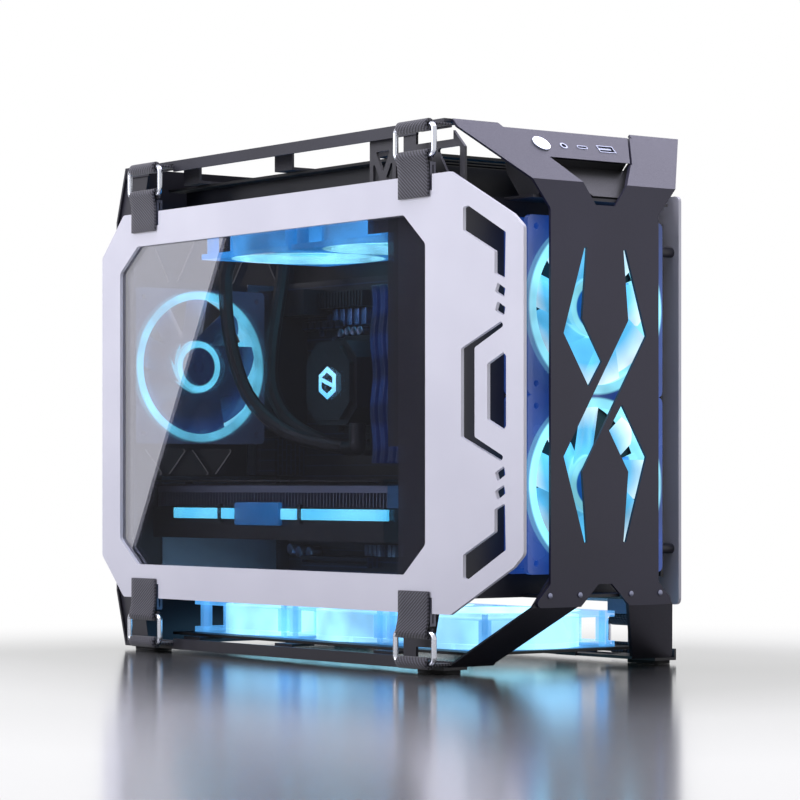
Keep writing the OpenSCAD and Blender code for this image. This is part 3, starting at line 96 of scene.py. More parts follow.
def place_on(nodes, links, stretch=(1, 1, 1)):
    where = nodes.new("ShaderNodeTexCoord")
    mapping = nodes.new("ShaderNodeMapping")
    mapping.inputs["Scale"].default_value = stretch
    links.new(where.outputs["Object"], mapping.inputs["Vector"])
    return mapping.outputs["Vector"]


def grain(nodes, links, vector, scale, detail=3.0):
    noise = nodes.new("ShaderNodeTexNoise")
    noise.inputs["Scale"].default_value = scale
    noise.inputs["Detail"].default_value = detail
    links.new(vector, noise.inputs["Vector"])
    return noise.outputs["Fac"]


def ramp(nodes, links, value, stops):
    node = nodes.new("ShaderNodeValToRGB")
    while len(node.color_ramp.elements) < len(stops):
        node.color_ramp.elements.new(0.5)
    for element, (position, tone) in zip(node.color_ramp.elements, stops):
        element.position = position
        element.color = tone
    links.new(value, node.inputs["Fac"])
    return node.outputs["Color"]


def bump(nodes, links, shader, height, strength, distance):
    node = nodes.new("ShaderNodeBump")
    node.inputs["Strength"].default_value = strength
    node.inputs["Distance"].default_value = distance
    links.new(height, node.inputs["Height"])
    links.new(node.outputs["Normal"], shader.inputs["Normal"])


def grey(v):
    return (v, v, v, 1.0)


def dress(material, *names):
    for name in names:
        slots = frame["nodes"][name].data.materials
        slots.clear()
        slots.append(material)
    print(material.name, "on", len(names), "nodes")


# %% [markdown]
# The frame is folded steel with a fine powder coat. The grain is a tight noise that drives a bump
# and a little of the roughness, and a broad faint noise varies the tone so no sheet looks flat.

# %% Powder-coated steel
def powder_coat(name, base, worn, roughness):
    material, nodes, links, shader = finish(name, base, roughness)
    where = place_on(nodes, links)
    broad = grain(nodes, links, where, 14, 2)
    tone = ramp(nodes, links, broad, [(0.3, colour(base)), (0.75, colour(worn))])
    links.new(tone, shader.inputs["Base Color"])
    fine = grain(nodes, links, where, 1400, 2)
    dull, shiny = grey(roughness + 0.09), grey(roughness - 0.07)
    links.new(ramp(nodes, links, fine, [(0.25, shiny), (0.75, dull)]), shader.inputs["Roughness"])
    bump(nodes, links, shader, fine, 0.25, 0.0002)
    return material


dark_steel = powder_coat("dark_steel", "#1d1b2f", "#242237", 0.42)
black_steel = powder_coat("black_steel", "#1d1c25", "#26252f", 0.42)
inner_steel = powder_coat("inner_steel", "#07070b", "#0b0b11", 0.5)
silver_paint = powder_coat("silver_paint", "#c5c5cf", "#cdcdd6", 0.36)
rail_steel = powder_coat("rail_steel", "#171723", "#1f1f2d", 0.5)
dress(dark_steel, "front_panel")
dress(rail_steel, "upper_rail_left", "upper_rail_right")
dress(black_steel, "front_base", "lower_rail_left", "lower_rail_right", "rear_panel",
      "cover_standoffs", "frame_trusses", "front_fan_bracket")
dress(inner_steel, "roof_plate", "floor_plate", "motherboard_tray", "supply_shroud",
      "port_housing", "power_supply")
dress(silver_paint, "left_cover", "right_cover")

# %% [markdown]
# Metal fittings: the rings are polished wire, the hooks and slot covers brushed steel, and the
# cooler bare aluminium. Brushing is a noise stretched along one axis.

# %% Metal fittings
def brushed(name, base, roughness, stretch):
    material, nodes, links, shader = finish(name, base, roughness, 1.0)
    streaks = grain(nodes, links, place_on(nodes, links, stretch), 60, 4)
    dull, shiny = grey(roughness + 0.12), grey(roughness - 0.1)
    links.new(ramp(nodes, links, streaks, [(0.3, shiny), (0.7, dull)]), shader.inputs["Roughness"])
    bump(nodes, links, shader, streaks, 0.12, 0.0001)
    return material


chrome = brushed("chrome_wire", "#c9ccd6", 0.16, (30, 30, 30))
hook_steel = brushed("hook_steel", "#6a6a76", 0.4, (4, 60, 4))
plate_steel = brushed("plate_steel", "#9da2b0", 0.4, (60, 4, 4))
bare_fins = brushed("bare_fins", "#8b90a4", 0.42, (2, 40, 40))
dress(chrome, "strap_rings")
dress(hook_steel, "strap_hooks")
dress(plate_steel, "rear_cover_plates", "graphics_bracket", "usb_ports", "audio_jack")
dress(bare_fins, "graphics_heatsink")

# %% [markdown]
# Moulded plastics and rubber have a soft pebble bump over a dark base. The tops of the pebbles are
# a quarter lighter, as they are where light catches them.

# %% Plastic and rubber
PEBBLE_LIFT = 1.25


def moulded(name, base, roughness, pebble=700, depth=0.2):
    material, nodes, links, shader = finish(name, base, roughness)
    pebbles = grain(nodes, links, place_on(nodes, links), pebble, 2)
    dark = colour(base)
    light = tuple(min(1.0, c * PEBBLE_LIFT) for c in dark)
    tone = ramp(nodes, links, pebbles, [(0.35, dark), (0.8, light)])
    links.new(tone, shader.inputs["Base Color"])
    bump(nodes, links, shader, pebbles, depth, 0.0002)
    return material


black_plastic = moulded("black_plastic", "#0e0e14", 0.42)
pad_rubber = moulded("pad_rubber", "#101013", 0.8, 400, 0.4)
sleeve = moulded("tube_sleeve", "#0c0c11", 0.5, 900, 0.5)
heatsink_coat = moulded("heatsink_coat", "#12141d", 0.36, 900)
dress(black_plastic, "pump_block", "graphics_shroud", "power_inlet", "graphics_backplate")
dress(pad_rubber, "rubber_feet")
dress(sleeve, "coolant_tubes")
dress(heatsink_coat, "board_heatsinks", "memory_modules", "radiator")

# %% [markdown]
# The circuit boards are dark lacquer over copper. A fine brick pattern of thin lines stands for
# the tracks, a little lighter than the lacquer.

# %% Circuit board lacquer
def lacquer(name, base, track):
    material, nodes, links, shader = finish(name, base, 0.32)
    bricks = nodes.new("ShaderNodeTexBrick")
    bricks.inputs["Scale"].default_value = 60
    bricks.inputs["Mortar Size"].default_value = 0.03
    bricks.inputs["Color1"].default_value = colour(base)
    bricks.inputs["Color2"].default_value = colour(base)
    bricks.inputs["Mortar"].default_value = colour(track)
    mapping = nodes.new("ShaderNodeMapping")
    mapping.inputs["Rotation"].default_value = (math.pi / 2, 0, math.pi / 2)
    where = nodes.new("ShaderNodeTexCoord")
    links.new(where.outputs["Object"], mapping.inputs["Vector"])
    links.new(mapping.outputs["Vector"], bricks.inputs["Vector"])
    links.new(bricks.outputs["Color"], shader.inputs["Base Color"])
    bump(nodes, links, shader, bricks.outputs["Fac"], 0.1, 0.0001)
    return material


board_lacquer = lacquer("board_lacquer", "#0d1220", "#1b2a48")
dress(board_lacquer, "motherboard", "graphics_board")

# %% [markdown]
# The fans light up: a ring behind the lip and a ring on the hub glow pale cyan, and the frosted
# plastic round them carries some of that light. Real lamps inside clear plastic would be slow and
# grainy to render, so the glow is painted by the distance from the fan's own axis. It then stays
# with the fan from every side. The first cell measures that distance with nodes.

# %% Distance from a fan's axis
AXIS_PARTS = {"x": ("Y", "Z"), "y": ("X", "Z"), "z": ("X", "Y")}


def maths(nodes, links, operation, first, second=0.0):
    """A sum on a node's output. The second term is a number or another output."""
    node = nodes.new("ShaderNodeMath")
    node.operation = operation
    links.new(first, node.inputs[0])
    if isinstance(second, bpy.types.NodeSocket):
        links.new(second, node.inputs[1])
    else:
        node.inputs[1].default_value = second
    return node.outputs["Value"]


def flat_length(nodes, links, first, second):
    flat = nodes.new("ShaderNodeCombineXYZ")
    links.new(first, flat.inputs["X"])
    links.new(second, flat.inputs["Y"])
    length = nodes.new("ShaderNodeVectorMath")
    length.operation = "LENGTH"
    links.new(flat.outputs["Vector"], length.inputs[0])
    return length.outputs["Value"]


def distance_from_axis(nodes, links, centre, axis):
    where = nodes.new("ShaderNodeTexCoord")
    mapping = nodes.new("ShaderNodeMapping")
    mapping.inputs["Location"].default_value = [-c for c in centre]
    links.new(where.outputs["Object"], mapping.inputs["Vector"])
    split = nodes.new("ShaderNodeSeparateXYZ")
    links.new(mapping.outputs["Vector"], split.inputs["Vector"])
    first, second = AXIS_PARTS[axis]
    return flat_length(nodes, links, split.outputs[first], split.outputs[second])


def fan_places():
    places = {}
    for joint in frame["joints"]:
        if joint["type"] == "hinge" and joint["child"].endswith("_rotor_body"):
            stem = joint["child"][:-len("_rotor_body")]
            axis = "xyz"[max(range(3), key=lambda i: abs(joint["axis"][i]))]
            places[stem] = (Vector(joint["pos_m"]), axis)
    return places


FANS = fan_places()
print("lit fans", len(FANS))

# %% [markdown]
# A colour ramp turns the distance into a glow, with its stops at the fan's own radii in
# millimetres. The same distance also sets how solid the plastic is, because a lit ring hides
# what is behind it and the frosted blades let some of it through.

# %% Lit fan plastic
FAN_REACH = 85 * MM
RING_IN, RING_OUT = 52.4, 58.0
HUB_IN, HUB_OUT = 15, 20
BLADE_MID, BLADE_TIP = 38, 56
FRAME_CORNER = 84


def by_radius(nodes, links, share, stops):
    return ramp(nodes, links, share, [(r * MM / FAN_REACH, tone) for r, tone in stops])


def lit_by_radius(name, base, centre, axis, glow, solid, strength):
    """Clear plastic that glows and turns solid by its distance from the fan's axis."""
    material, nodes, links, shader = finish(name, base, 0.2)
    distance = distance_from_axis(nodes, links, centre, axis)
    share = maths(nodes, links, "DIVIDE", distance, FAN_REACH)
    links.new(by_radius(nodes, links, share, glow), shader.inputs["Emission Color"])
    links.new(by_radius(nodes, links, share, solid), shader.inputs["Alpha"])
    cloudy = grain(nodes, links, place_on(nodes, links), 24, 2)
    patches = ramp(nodes, links, cloudy, [(0.34, grey(0.42)), (0.66, grey(1.0))])
    power = maths(nodes, links, "MULTIPLY", patches, strength)
    links.new(power, shader.inputs["Emission Strength"])
    gloss = ramp(nodes, links, cloudy, [(0.3, grey(0.12)), (0.7, grey(0.3))])
    links.new(gloss, shader.inputs["Roughness"])
    return material


def frame_glow(look):
    inner, ring, corner = (colour(look[part]) for part in ("inner", "ring", "corner"))
    return [(0, inner), (RING_IN - 1.5, inner), (RING_IN, ring), (RING_OUT, ring),
            (RING_OUT + 1.6, corner), (FRAME_CORNER, corner)]


def rotor_glow(look):
    hub, ring, blade, tip = (colour(look[part]) for part in ("hub", "ring", "blade", "tip"))
    return [(0, hub), (HUB_IN - 0.5, hub), (HUB_IN + 0.5, ring), (HUB_OUT - 0.5, ring),
            (HUB_OUT + 1, blade), (BLADE_MID, blade), (BLADE_TIP, tip)]


def solid_ring(body, ring_in, ring_out, fade, end):
    return [(0, grey(body)), (ring_in, grey(1)), (ring_out, grey(1)), (ring_out + fade, grey(body)),
            (end, grey(body))]


print("fan stops at", RING_IN, RING_OUT, HUB_IN, HUB_OUT, "mm")

# %% [markdown]
# The photograph shows the front and roof fans bright, the floor fans paler and more see-through,
# and the rear fan dim but for its rings. Each place has its own row of colours.

# %% Colours of the fans
LOOKS = {
    "rear": dict(ring="#6fdcf8", inner="#0a1c3c", corner="#20242f", hub="#0b1730",
                 blade="#0a1526", tip="#0d2f66", body=0.8, strength=2.0),
    "front": dict(ring="#8feaff", inner="#2f86dc", corner="#0c2f72", hub="#1460b8",
                  blade="#58bcee", tip="#e8fcff", body=0.8, strength=1.5),
    "roof": dict(ring="#8feaff", inner="#5fd2f4", corner="#1f7cc0", hub="#6fdcf8",
                 blade="#6fdcf8", tip="#a5efff", body=0.9, strength=2.5),
    "floor": dict(ring="#b4f2ff", inner="#8fe2ff", corner="#4f9fe4", hub="#7fdcff",
                  blade="#9feaff", tip="#d4f8ff", body=0.5, strength=2.0)}
for stem, (centre, axis) in FANS.items():
    look = LOOKS[next(word for word in ("roof", "floor", "rear", "front") if word in stem)]
    frame_solid = solid_ring(look["body"], RING_IN, RING_OUT, 2, FRAME_CORNER)
    dress(lit_by_radius(stem + "_frame_light", "#5a6584", centre, axis, frame_glow(look),
                        frame_solid, look["strength"]), stem + "_frame")
    rotor_solid = solid_ring(look["body"], HUB_IN, HUB_OUT, 1, BLADE_TIP)
    dress(lit_by_radius(stem + "_rotor_light", "#39435e", centre, axis, rotor_glow(look),
                        rotor_solid, look["strength"]), stem + "_rotor")
dress(black_plastic, "graphics_rear_fan", "graphics_middle_fan", "graphics_front_fan")

# %% [markdown]
# Lit strips and signs are frosted plastic that glows evenly, in soft bands of two close colours.
# The power button is brushed metal without a glow of its own.

# %% Frosted light and button
def glow_plastic(name, low, high, strength):
    material, nodes, links, shader = finish(name, high, 0.3)
    bands = grain(nodes, links, place_on(nodes, links), 25, 1)
    links.new(ramp(nodes, links, bands, [(0.3, colour(low)), (0.7, colour(high))]),
              shader.inputs["Emission Color"])
    shader.inputs["Emission Strength"].default_value = strength
    return material


card_light = glow_plastic("card_light", "#36b4dc", "#74dcf5", 1.6)
button_metal = brushed("button_metal", "#dfe6f0", 0.25, (20, 20, 20))
dress(button_metal, "power_button")

# %% [markdown]
# The straps are woven nylon webbing. A band starts as one edge across the strap, which is extruded
# step by step along the strap's path, as webbing is fed through a ring. Solidify then gives it
# body, and a small bevel rounds the selvedge. The map of the weave is measured along the path.

# %% Webbing band
STRAP_W = 33 * MM
WEB_T = 1.9 * MM
SELVEDGE = 0.5 * MM


def only(obj):
    bpy.ops.object.select_all(action="DESELECT")
    obj.select_set(True)
    bpy.context.view_layer.objects.active = obj


def face_outward(piece):
    only(piece)
    bpy.ops.object.mode_set(mode="EDIT")
    bpy.ops.mesh.select_all(action="SELECT")
    bpy.ops.mesh.normals_make_consistent(inside=False)
    bpy.ops.object.mode_set(mode="OBJECT")


def map_along(band, path):
    lengths = [0.0]
    for before, after in zip(path, path[1:]):
        lengths.append(lengths[-1] + math.dist(before, after))
    layer = band.data.uv_layers.new(name="weave").data
    for loop in band.data.loops:
        co = band.data.vertices[loop.vertex_index].co
        nearest = min(range(len(path)), key=lambda i: math.dist(path[i], (co.x, co.z)))
        layer[loop.index].uv = (co.y, lengths[nearest])


def webbing_band(name, path):
    bpy.ops.object.select_all(action="DESELECT")
    bpy.ops.mesh.primitive_plane_add(size=STRAP_W, location=(0, 0, 0))
    band = bpy.context.object
    band.name = name
    bpy.ops.object.mode_set(mode="EDIT")
    mesh = bmesh.from_edit_mesh(band.data)
    for v in mesh.verts:
        v.select = v.co.x < 0
    bmesh.update_edit_mesh(band.data)
    bpy.ops.mesh.delete(type="VERT")
    bpy.ops.mesh.select_all(action="SELECT")
    bpy.ops.mesh.subdivide(number_cuts=5)
    bpy.ops.transform.translate(value=(path[0][0] - STRAP_W / 2, 0, path[0][1]))
    for before, after in zip(path, path[1:]):
        step = (after[0] - before[0], 0, after[1] - before[1])
        bpy.ops.mesh.extrude_region_move(TRANSFORM_OT_translate={"value": step})
    bpy.ops.object.mode_set(mode="OBJECT")
    map_along(band, path)
    body = band.modifiers.new("body", "SOLIDIFY")
    body.thickness = WEB_T
    body.offset = 0
    edge = band.modifiers.new("selvedge", "BEVEL")
    edge.width = SELVEDGE
    edge.segments = 2
    bpy.ops.object.modifier_apply(modifier="body")
    bpy.ops.object.modifier_apply(modifier="selvedge")
    face_outward(band)
    bpy.ops.object.shade_smooth_by_angle(angle=math.radians(40))
    return band


print("webbing", round(STRAP_W / MM), "mm wide")

# %% [markdown]
# The case has eight straps of each kind, alike but for their places. So one band is copied,
# mirrored from side to side and from top to bottom, and joined. A mirrored mesh is inside out,
# which is why the faces are turned outward again afterwards.

# %% Copies at every strap
Z_MID = 186.5 * MM
LEFT_YS = (57 * MM + FRONT_Y, 394 * MM + FRONT_Y)
RIGHT_YS = (112 * MM + FRONT_Y, 394 * MM + FRONT_Y)


def joined(pieces):
    bpy.ops.object.select_all(action="DESELECT")
    for piece in pieces:
        piece.select_set(True)
    bpy.context.view_layer.objects.active = pieces[0]
    bpy.ops.object.join()
    return bpy.context.object


def at_every_strap(band, name, node, material):
    to_floor = Matrix.Translation((0, 0, 2 * Z_MID)) @ Matrix.Scale(-1, 4, (0, 0, 1))
    copies = []
    for side, ys in ((-1, LEFT_YS), (1, RIGHT_YS)):
        for y in ys:
            for end in (Matrix.Identity(4), to_floor):
                copy = band.copy()
                copy.data = band.data.copy()
                bpy.context.scene.collection.objects.link(copy)
                flip = end @ Matrix.Scale(side, 4, (1, 0, 0))
                copy.data.transform(Matrix.Translation((0, y, 0)) @ flip)
                copies.append(copy)
    bpy.data.objects.remove(band)
    whole = joined(copies)
    whole.name = name
    face_outward(whole)
    whole.data.materials.clear()
    whole.data.materials.append(material)
    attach(whole, "case")
    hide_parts(node)
    print(name, len(whole.data.polygons), "faces")


# %% [markdown]
# The weave is two waves crossed: a slanted one for the twill ribs and a finer one for the threads
# across them. A little sheen gives nylon its soft edge light.

# %% Webbing material
TWILL_TURN = math.radians(52)


def webbing_cloth():
    material, nodes, links, shader = finish("webbing_cloth", "#35343c", 0.85)
    uv = nodes.new("ShaderNodeUVMap")
    uv.uv_map = "weave"
    slanted = nodes.new("ShaderNodeMapping")
    slanted.inputs["Rotation"].default_value = (0, 0, TWILL_TURN)
    links.new(uv.outputs["UV"], slanted.inputs["Vector"])
    ribs = []
    for source, scale, direction in ((slanted, 160, "X"), (uv, 330, "Y")):
        wave = nodes.new("ShaderNodeTexWave")
        wave.bands_direction = direction
        wave.inputs["Scale"].default_value = scale
        wave.inputs["Distortion"].default_value = 0.6
        links.new(source.outputs[0], wave.inputs["Vector"])
        ribs.append(wave.outputs["Fac"])
    tone = ramp(nodes, links, ribs[0], [(0.2, colour("#1b1a20")), (0.85, colour("#4f4e58"))])
    links.new(tone, shader.inputs["Base Color"])
    weave = maths(nodes, links, "MULTIPLY", ribs[0], ribs[1])
    bump(nodes, links, shader, weave, 0.6, 0.0004)
    shader.inputs["Sheen Weight"].default_value = 0.3
    return material


cloth = webbing_cloth()
print(cloth.name, "made")

# %% [markdown]
# Each cover is held near its four corners by a wire ring between two straps. One strap comes off
# the cover and loops round one side of the ring, and the other comes off the rail and loops round
# the far side. A path is drawn in the plane across the case, as straight stretches and an arc
# round the wire.

# %% Straps on the covers and on the rails
RING_X = 118.3 * MM
RING_TOP_Z = 365.1 * MM
RING_LOW_Z = 344.9 * MM
LOOP_R = 3.25 * MM
LEG_X = 119.3 * MM
LEG_END_Z = 317.2 * MM
RAIL_LEG_Z = 366.3 * MM
STOP_X = 100.2 * MM


def arc(centre, radius, start, stop, steps):
    angles = [math.radians(start + (stop - start) * i / steps) for i in range(steps + 1)]
    return [(centre[0] + radius * math.cos(a), centre[1] + radius * math.sin(a)) for a in angles]


panel_path = ([(LEG_X, LEG_END_Z), (LEG_X, 325 * MM), (LEG_X, 333 * MM), (119.8 * MM, 338 * MM),
               (120.8 * MM, 341.6 * MM)]
              + arc((RING_X, RING_LOW_Z), LOOP_R, -30, 240, 14))
at_every_strap(webbing_band("panel_band", panel_path), "panel_webbing", "panel_straps", cloth)
rail_path = ([(STOP_X, 364.2 * MM), (STOP_X, RAIL_LEG_Z), (104 * MM, RAIL_LEG_Z)]
             + arc((RING_X, RING_TOP_Z), LOOP_R, 158, -110, 14))
at_every_strap(webbing_band("rail_band", rail_path), "rail_webbing", "rail_straps", cloth)

# %% [markdown]
# Small parts are built from primitives that are shaped in edit mode. Three helpers cover most of them:
# a block between two corners, a plate cut to an outline, and a turned round piece. The block and the
# plate end with a bevel, because real edges are never perfectly sharp and they catch the light.

# %% Blocks
def at(x, y, z):
    return Vector((x * MM, y * MM + FRONT_Y, z * MM))


def soften(piece, width):
    only(piece)
    edge = piece.modifiers.new("edge", "BEVEL")
    edge.width = width * MM
    edge.segments = 2
    edge.limit_method = "ANGLE"
    bpy.ops.object.modifier_apply(modifier="edge")
    bpy.ops.object.shade_smooth_by_angle(angle=math.radians(35))
    return piece


def finish_piece(piece, material):
    piece.data.materials.clear()
    piece.data.materials.append(material)
    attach(piece, "case")


def block(name, low, high, edge=0.4):
    bpy.ops.object.select_all(action="DESELECT")
    bpy.ops.mesh.primitive_cube_add(size=1, location=(0, 0, 0))
    piece = bpy.context.object
    piece.name = name
    a, b = at(*low), at(*high)
    bpy.ops.object.mode_set(mode="EDIT")
    bpy.ops.transform.resize(value=tuple(b - a))
    bpy.ops.transform.translate(value=tuple((a + b) / 2))
    bpy.ops.object.mode_set(mode="OBJECT")
    return soften(piece, edge)


# %% [markdown]
# A plate is a flat outline pulled to its thickness, as sheet metal is cut and not carved. The
# outline has two millimetre numbers for each corner, and the axis says which way it is thick.

# %% Plates
def plate(name, outline, axis, start, thick, edge=0.3):
    bpy.ops.object.select_all(action="DESELECT")
    bpy.ops.mesh.primitive_circle_add(vertices=len(outline), radius=0.01, fill_type="NGON")
    piece = bpy.context.object
    piece.name = name
    for v, (p, q) in zip(piece.data.vertices, outline):
        v.co = {"x": at(start, p, q), "y": at(p, start, q)}[axis]
    bpy.ops.object.mode_set(mode="EDIT")
    bpy.ops.mesh.select_all(action="SELECT")
    step = {"x": (thick * MM, 0, 0), "y": (0, thick * MM, 0)}[axis]
    bpy.ops.mesh.extrude_region_move(TRANSFORM_OT_translate={"value": step})
    bpy.ops.object.mode_set(mode="OBJECT")
    face_outward(piece)
    return soften(piece, edge)


# %% [markdown]
# Capacitors and screws are round, so they are made as on a lathe. A circle is pulled out and
# scaled through the steps of a profile, each a distance along the axis and a radius.

# %% Turned pieces
TURNS = {"-x": Matrix.Rotation(-math.pi / 2, 4, "Y"), "-y": Matrix.Rotation(math.pi / 2, 4, "X")}
SAME_RADIUS = 1e-6


def turned(name, centre, axis, profile, sides=28):
    bpy.ops.object.select_all(action="DESELECT")
    bpy.ops.mesh.primitive_circle_add(vertices=sides, radius=profile[0][1] * MM, fill_type="NGON")
    piece = bpy.context.object
    piece.name = name
    bpy.ops.object.mode_set(mode="EDIT")
    bpy.ops.mesh.select_all(action="SELECT")
    bpy.ops.transform.translate(value=(0, 0, profile[0][0] * MM))
    for (h0, r0), (h1, r1) in zip(profile, profile[1:]):
        step = (0, 0, (h1 - h0) * MM)
        bpy.ops.mesh.extrude_region_move(TRANSFORM_OT_translate={"value": step})
        if abs(r1 - r0) > SAME_RADIUS:
            bpy.ops.transform.resize(value=(r1 / r0, r1 / r0, 1), center_override=(0, 0, h1 * MM))
    bpy.ops.object.mode_set(mode="OBJECT")
    face_outward(piece)
    piece.data.transform(Matrix.Translation(at(*centre)) @ TURNS[axis])
    bpy.ops.object.shade_smooth_by_angle(angle=math.radians(35))
    return piece


def repeat(piece, steps):
    """Copies of a piece moved by each millimetre step, joined to it as one mesh."""
    copies = []
    for step in steps:
        copy = piece.copy()
        copy.data = piece.data.copy()
        copy.data.transform(Matrix.Translation(Vector(step) * MM))
        bpy.context.scene.collection.objects.link(copy)
        copies.append(copy)
    return joined([piece] + copies)


# %% [markdown]
# The board is full of small parts: chokes, capacitors and connectors. In the photograph the fans light
# them from the left, so the chokes' metal is painted silvery blue, a painted blue light from the fans.

# %% Small parts on the board
BOARD_X = 56
# The chokes' silvery blue is a painted blue light from the fans, set in the metal's colour.
painted_fan_light_blue = brushed("painted_fan_light_blue", "#7f9ccf", 0.35, (30, 30, 30))
tin = brushed("tin", "#8b8ea4", 0.4, (30, 30, 30))
chokes = repeat(block("chokes", (BOARD_X - 6, 357.5, 251), (BOARD_X, 364.5, 264), 0.8),
                [(0, -9.5, 0), (0, -19, 0), (0, 9.5, 0), (0, 19, 0)])
finish_piece(chokes, painted_fan_light_blue)
CAN = [(0, 3.8), (6.5, 3.8), (7.2, 3.2), (7.0, 2.9)]
cans = repeat(turned("cans", (BOARD_X, 362, 246), "-x", CAN), [(0, -8, 0), (0, -16, 0), (0, 9, -1)])
finish_piece(cans, tin)
BIG_CAN = [(0, 4.6), (9, 4.6), (10, 4.0), (9.8, 3.6)]
low_cans = repeat(turned("low_cans", (BOARD_X, 424, 73), "-x", BIG_CAN), [(0, -14, 0), (0, 12, 2)])
finish_piece(low_cans, tin)
contacts = repeat(block("contacts", (BOARD_X - 1.2, 437, 238), (BOARD_X, 445, 240), 0.3),
                  [(0, 0, -4.6 * i) for i in range(1, 13)])
finish_piece(contacts, brushed("teal_contacts", "#4f93a6", 0.35, (30, 30, 30)))
pins = repeat(block("pins", (BOARD_X - 5, 322, 71), (BOARD_X, 326, 80), 0.4),
              [(0, 5.5, 0), (0, 11, 0), (0, 16, 0), (0, -14, 0), (0, -19.5, 0)])
finish_piece(pins, tin)
chips = repeat(block("chips", (BOARD_X - 2, 392, 232), (BOARD_X, 399, 239), 0.4),
               [(0, -10, 4), (0, 3, -14), (0, -12, -16), (0, 8, 12), (0, -3, 22), (0, -14, 21),
                (0, 12, -30), (0, 2, -38), (0, -60, -130), (0, -90, -140), (0, -40, -146)])
finish_piece(chips, lacquer("chip_black", "#141826", "#1d2a44"))
print("board details placed")

# %% [markdown]
# A memory module's heat spreader is a pressed plate with a wavy outer edge. The outline is a sine
# wave down the free edge and straight lines on the board side.

# %% Memory spreaders
MEMORY_YS = (246, 256, 266, 276)
MEMORY_Z = (142.5, 276.5)
FREE_EDGE_X, SLOT_EDGE_X = 13.5, 50
WAVE_DEPTH = 1.3
HALF_WAVES = 5
EDGE_STEPS = 40


def spreader_outline():
    low, high = MEMORY_Z
    edge = []
    for i in range(EDGE_STEPS + 1):
        share = i / EDGE_STEPS
        swing = WAVE_DEPTH * math.sin(share * HALF_WAVES * math.pi)
        edge.append((FREE_EDGE_X + swing, low + share * (high - low)))
    return edge + [(SLOT_EDGE_X, high), (SLOT_EDGE_X, low)]


def memory_paint_with_painted_glow():
    material, nodes, links, shader = finish("memory_paint_with_painted_glow", "#081429", 0.4)
    waves = nodes.new("ShaderNodeTexWave")
    waves.bands_direction = "Z"
    waves.inputs["Scale"].default_value = 9
    waves.inputs["Distortion"].default_value = 2.5
    links.new(place_on(nodes, links), waves.inputs["Vector"])
    height = waves.outputs["Fac"]
    tone = ramp(nodes, links, height, [(0.2, colour("#050d1c")), (0.8, colour("#14346a"))])
    links.new(tone, shader.inputs["Base Color"])
    # The faint blue emission is a painted glow, standing in for blue light falling on the spreaders.
    shader.inputs["Emission Color"].default_value = colour("#123f9c")
    shader.inputs["Emission Strength"].default_value = 0.14
    bump(nodes, links, shader, height, 0.5, 0.001)
    return material


spreaders = plate("spreaders", spreader_outline(), "y", MEMORY_YS[0] + 0.4, 6.2, 0.8)
spreaders = repeat(spreaders, [(0, y - MEMORY_YS[0], 0) for y in MEMORY_YS[1:]])
finish_piece(spreaders, memory_paint_with_painted_glow())
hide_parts("memory_modules")
print("memory spreaders", len(spreaders.data.polygons), "faces")

# %% [markdown]
# The pump's cap carries a plain lit sign: a six-sided ring with a bar across it. The ring is a lit
# plate with a smaller dark one in front of it.

# %% Pump sign
PUMP_MID = (328, 204)


def six_sided(radius):
    angles = [math.radians(60 * i + 30) for i in range(6)]
    return [(PUMP_MID[0] + radius * math.cos(a), PUMP_MID[1] + radius * math.sin(a)) for a in angles]


sign_light = glow_plastic("sign_light", "#35c8ff", "#a8f0ff", 1.9)
sign = plate("pump_sign", six_sided(12.5), "x", 5.4, 0.7, 0.1)
sign_dark = plate("pump_sign_dark", six_sided(8.0), "x", 5.2, 0.9, 0.1)
finish_piece(sign, sign_light)
finish_piece(sign_dark, black_plastic)
sign_bar = plate("pump_sign_bar", [(320, 200), (338, 206), (337, 209), (319, 203)], "x", 5.0, 0.9, 0.1)
finish_piece(sign_bar, sign_light)
print("pump sign placed")

# %% [markdown]
# The light bar of the graphics card is a long thin strip with a darker clear module over its
# middle and two small clips, so it is modelled here in place of the plain bar.

# %% Light bar of the card
CARD_SIDE_X = -80
card_bar = block("card_bar", (CARD_SIDE_X - 2, 134, 101), (CARD_SIDE_X, 408, 109), 0.6)
finish_piece(card_bar, card_light)
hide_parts("graphics_lights")
clips = repeat(block("card_clips", (CARD_SIDE_X - 3, 238, 98), (CARD_SIDE_X, 242, 112), 0.5),
               [(0, 104, 0)])
finish_piece(clips, black_plastic)
module = block("card_module", (CARD_SIDE_X - 4, 264, 96.5), (CARD_SIDE_X, 322, 113.5), 1.2)
finish_piece(module, glow_plastic("card_module_light", "#0b3a6e", "#2277b4", 0.5))
print("card light bar placed")

# %% [markdown]
# Four small screws hold the bottom of the front plate. Their heads stand a little proud of it.

# %% Front screws
SCREW_HEAD = [(0, 1.9), (0.5, 1.9), (0.9, 1.3)]
screws = repeat(turned("front_screws", (-48.7, -0.1, 52.5), "-y", SCREW_HEAD, 20),
                [(26.2, 0, 0), (71.6, 0, 0), (97.9, 0, 0)])
finish_piece(screws, tin)
print("front screws placed")

# %% [markdown]
# The window is tinted glass with a coat that mirrors part of what stands around it. Some
# of the light comes straight through and the rest is reflected.

# %% Window glass
def clear_glass():
    material, nodes, links, shader = finish("clear_glass", "#f0f0fb", 0.0, 0.26)
    shader.inputs["Transmission Weight"].default_value = 1.0
    shader.inputs["IOR"].default_value = 1.3
    smears = grain(nodes, links, place_on(nodes, links), 9, 2)
    mirror = ramp(nodes, links, smears, [(0.4, grey(0.24)), (0.8, grey(0.28))])
    links.new(mirror, shader.inputs["Metallic"])
    return material


dress(clear_glass(), "window_glass")

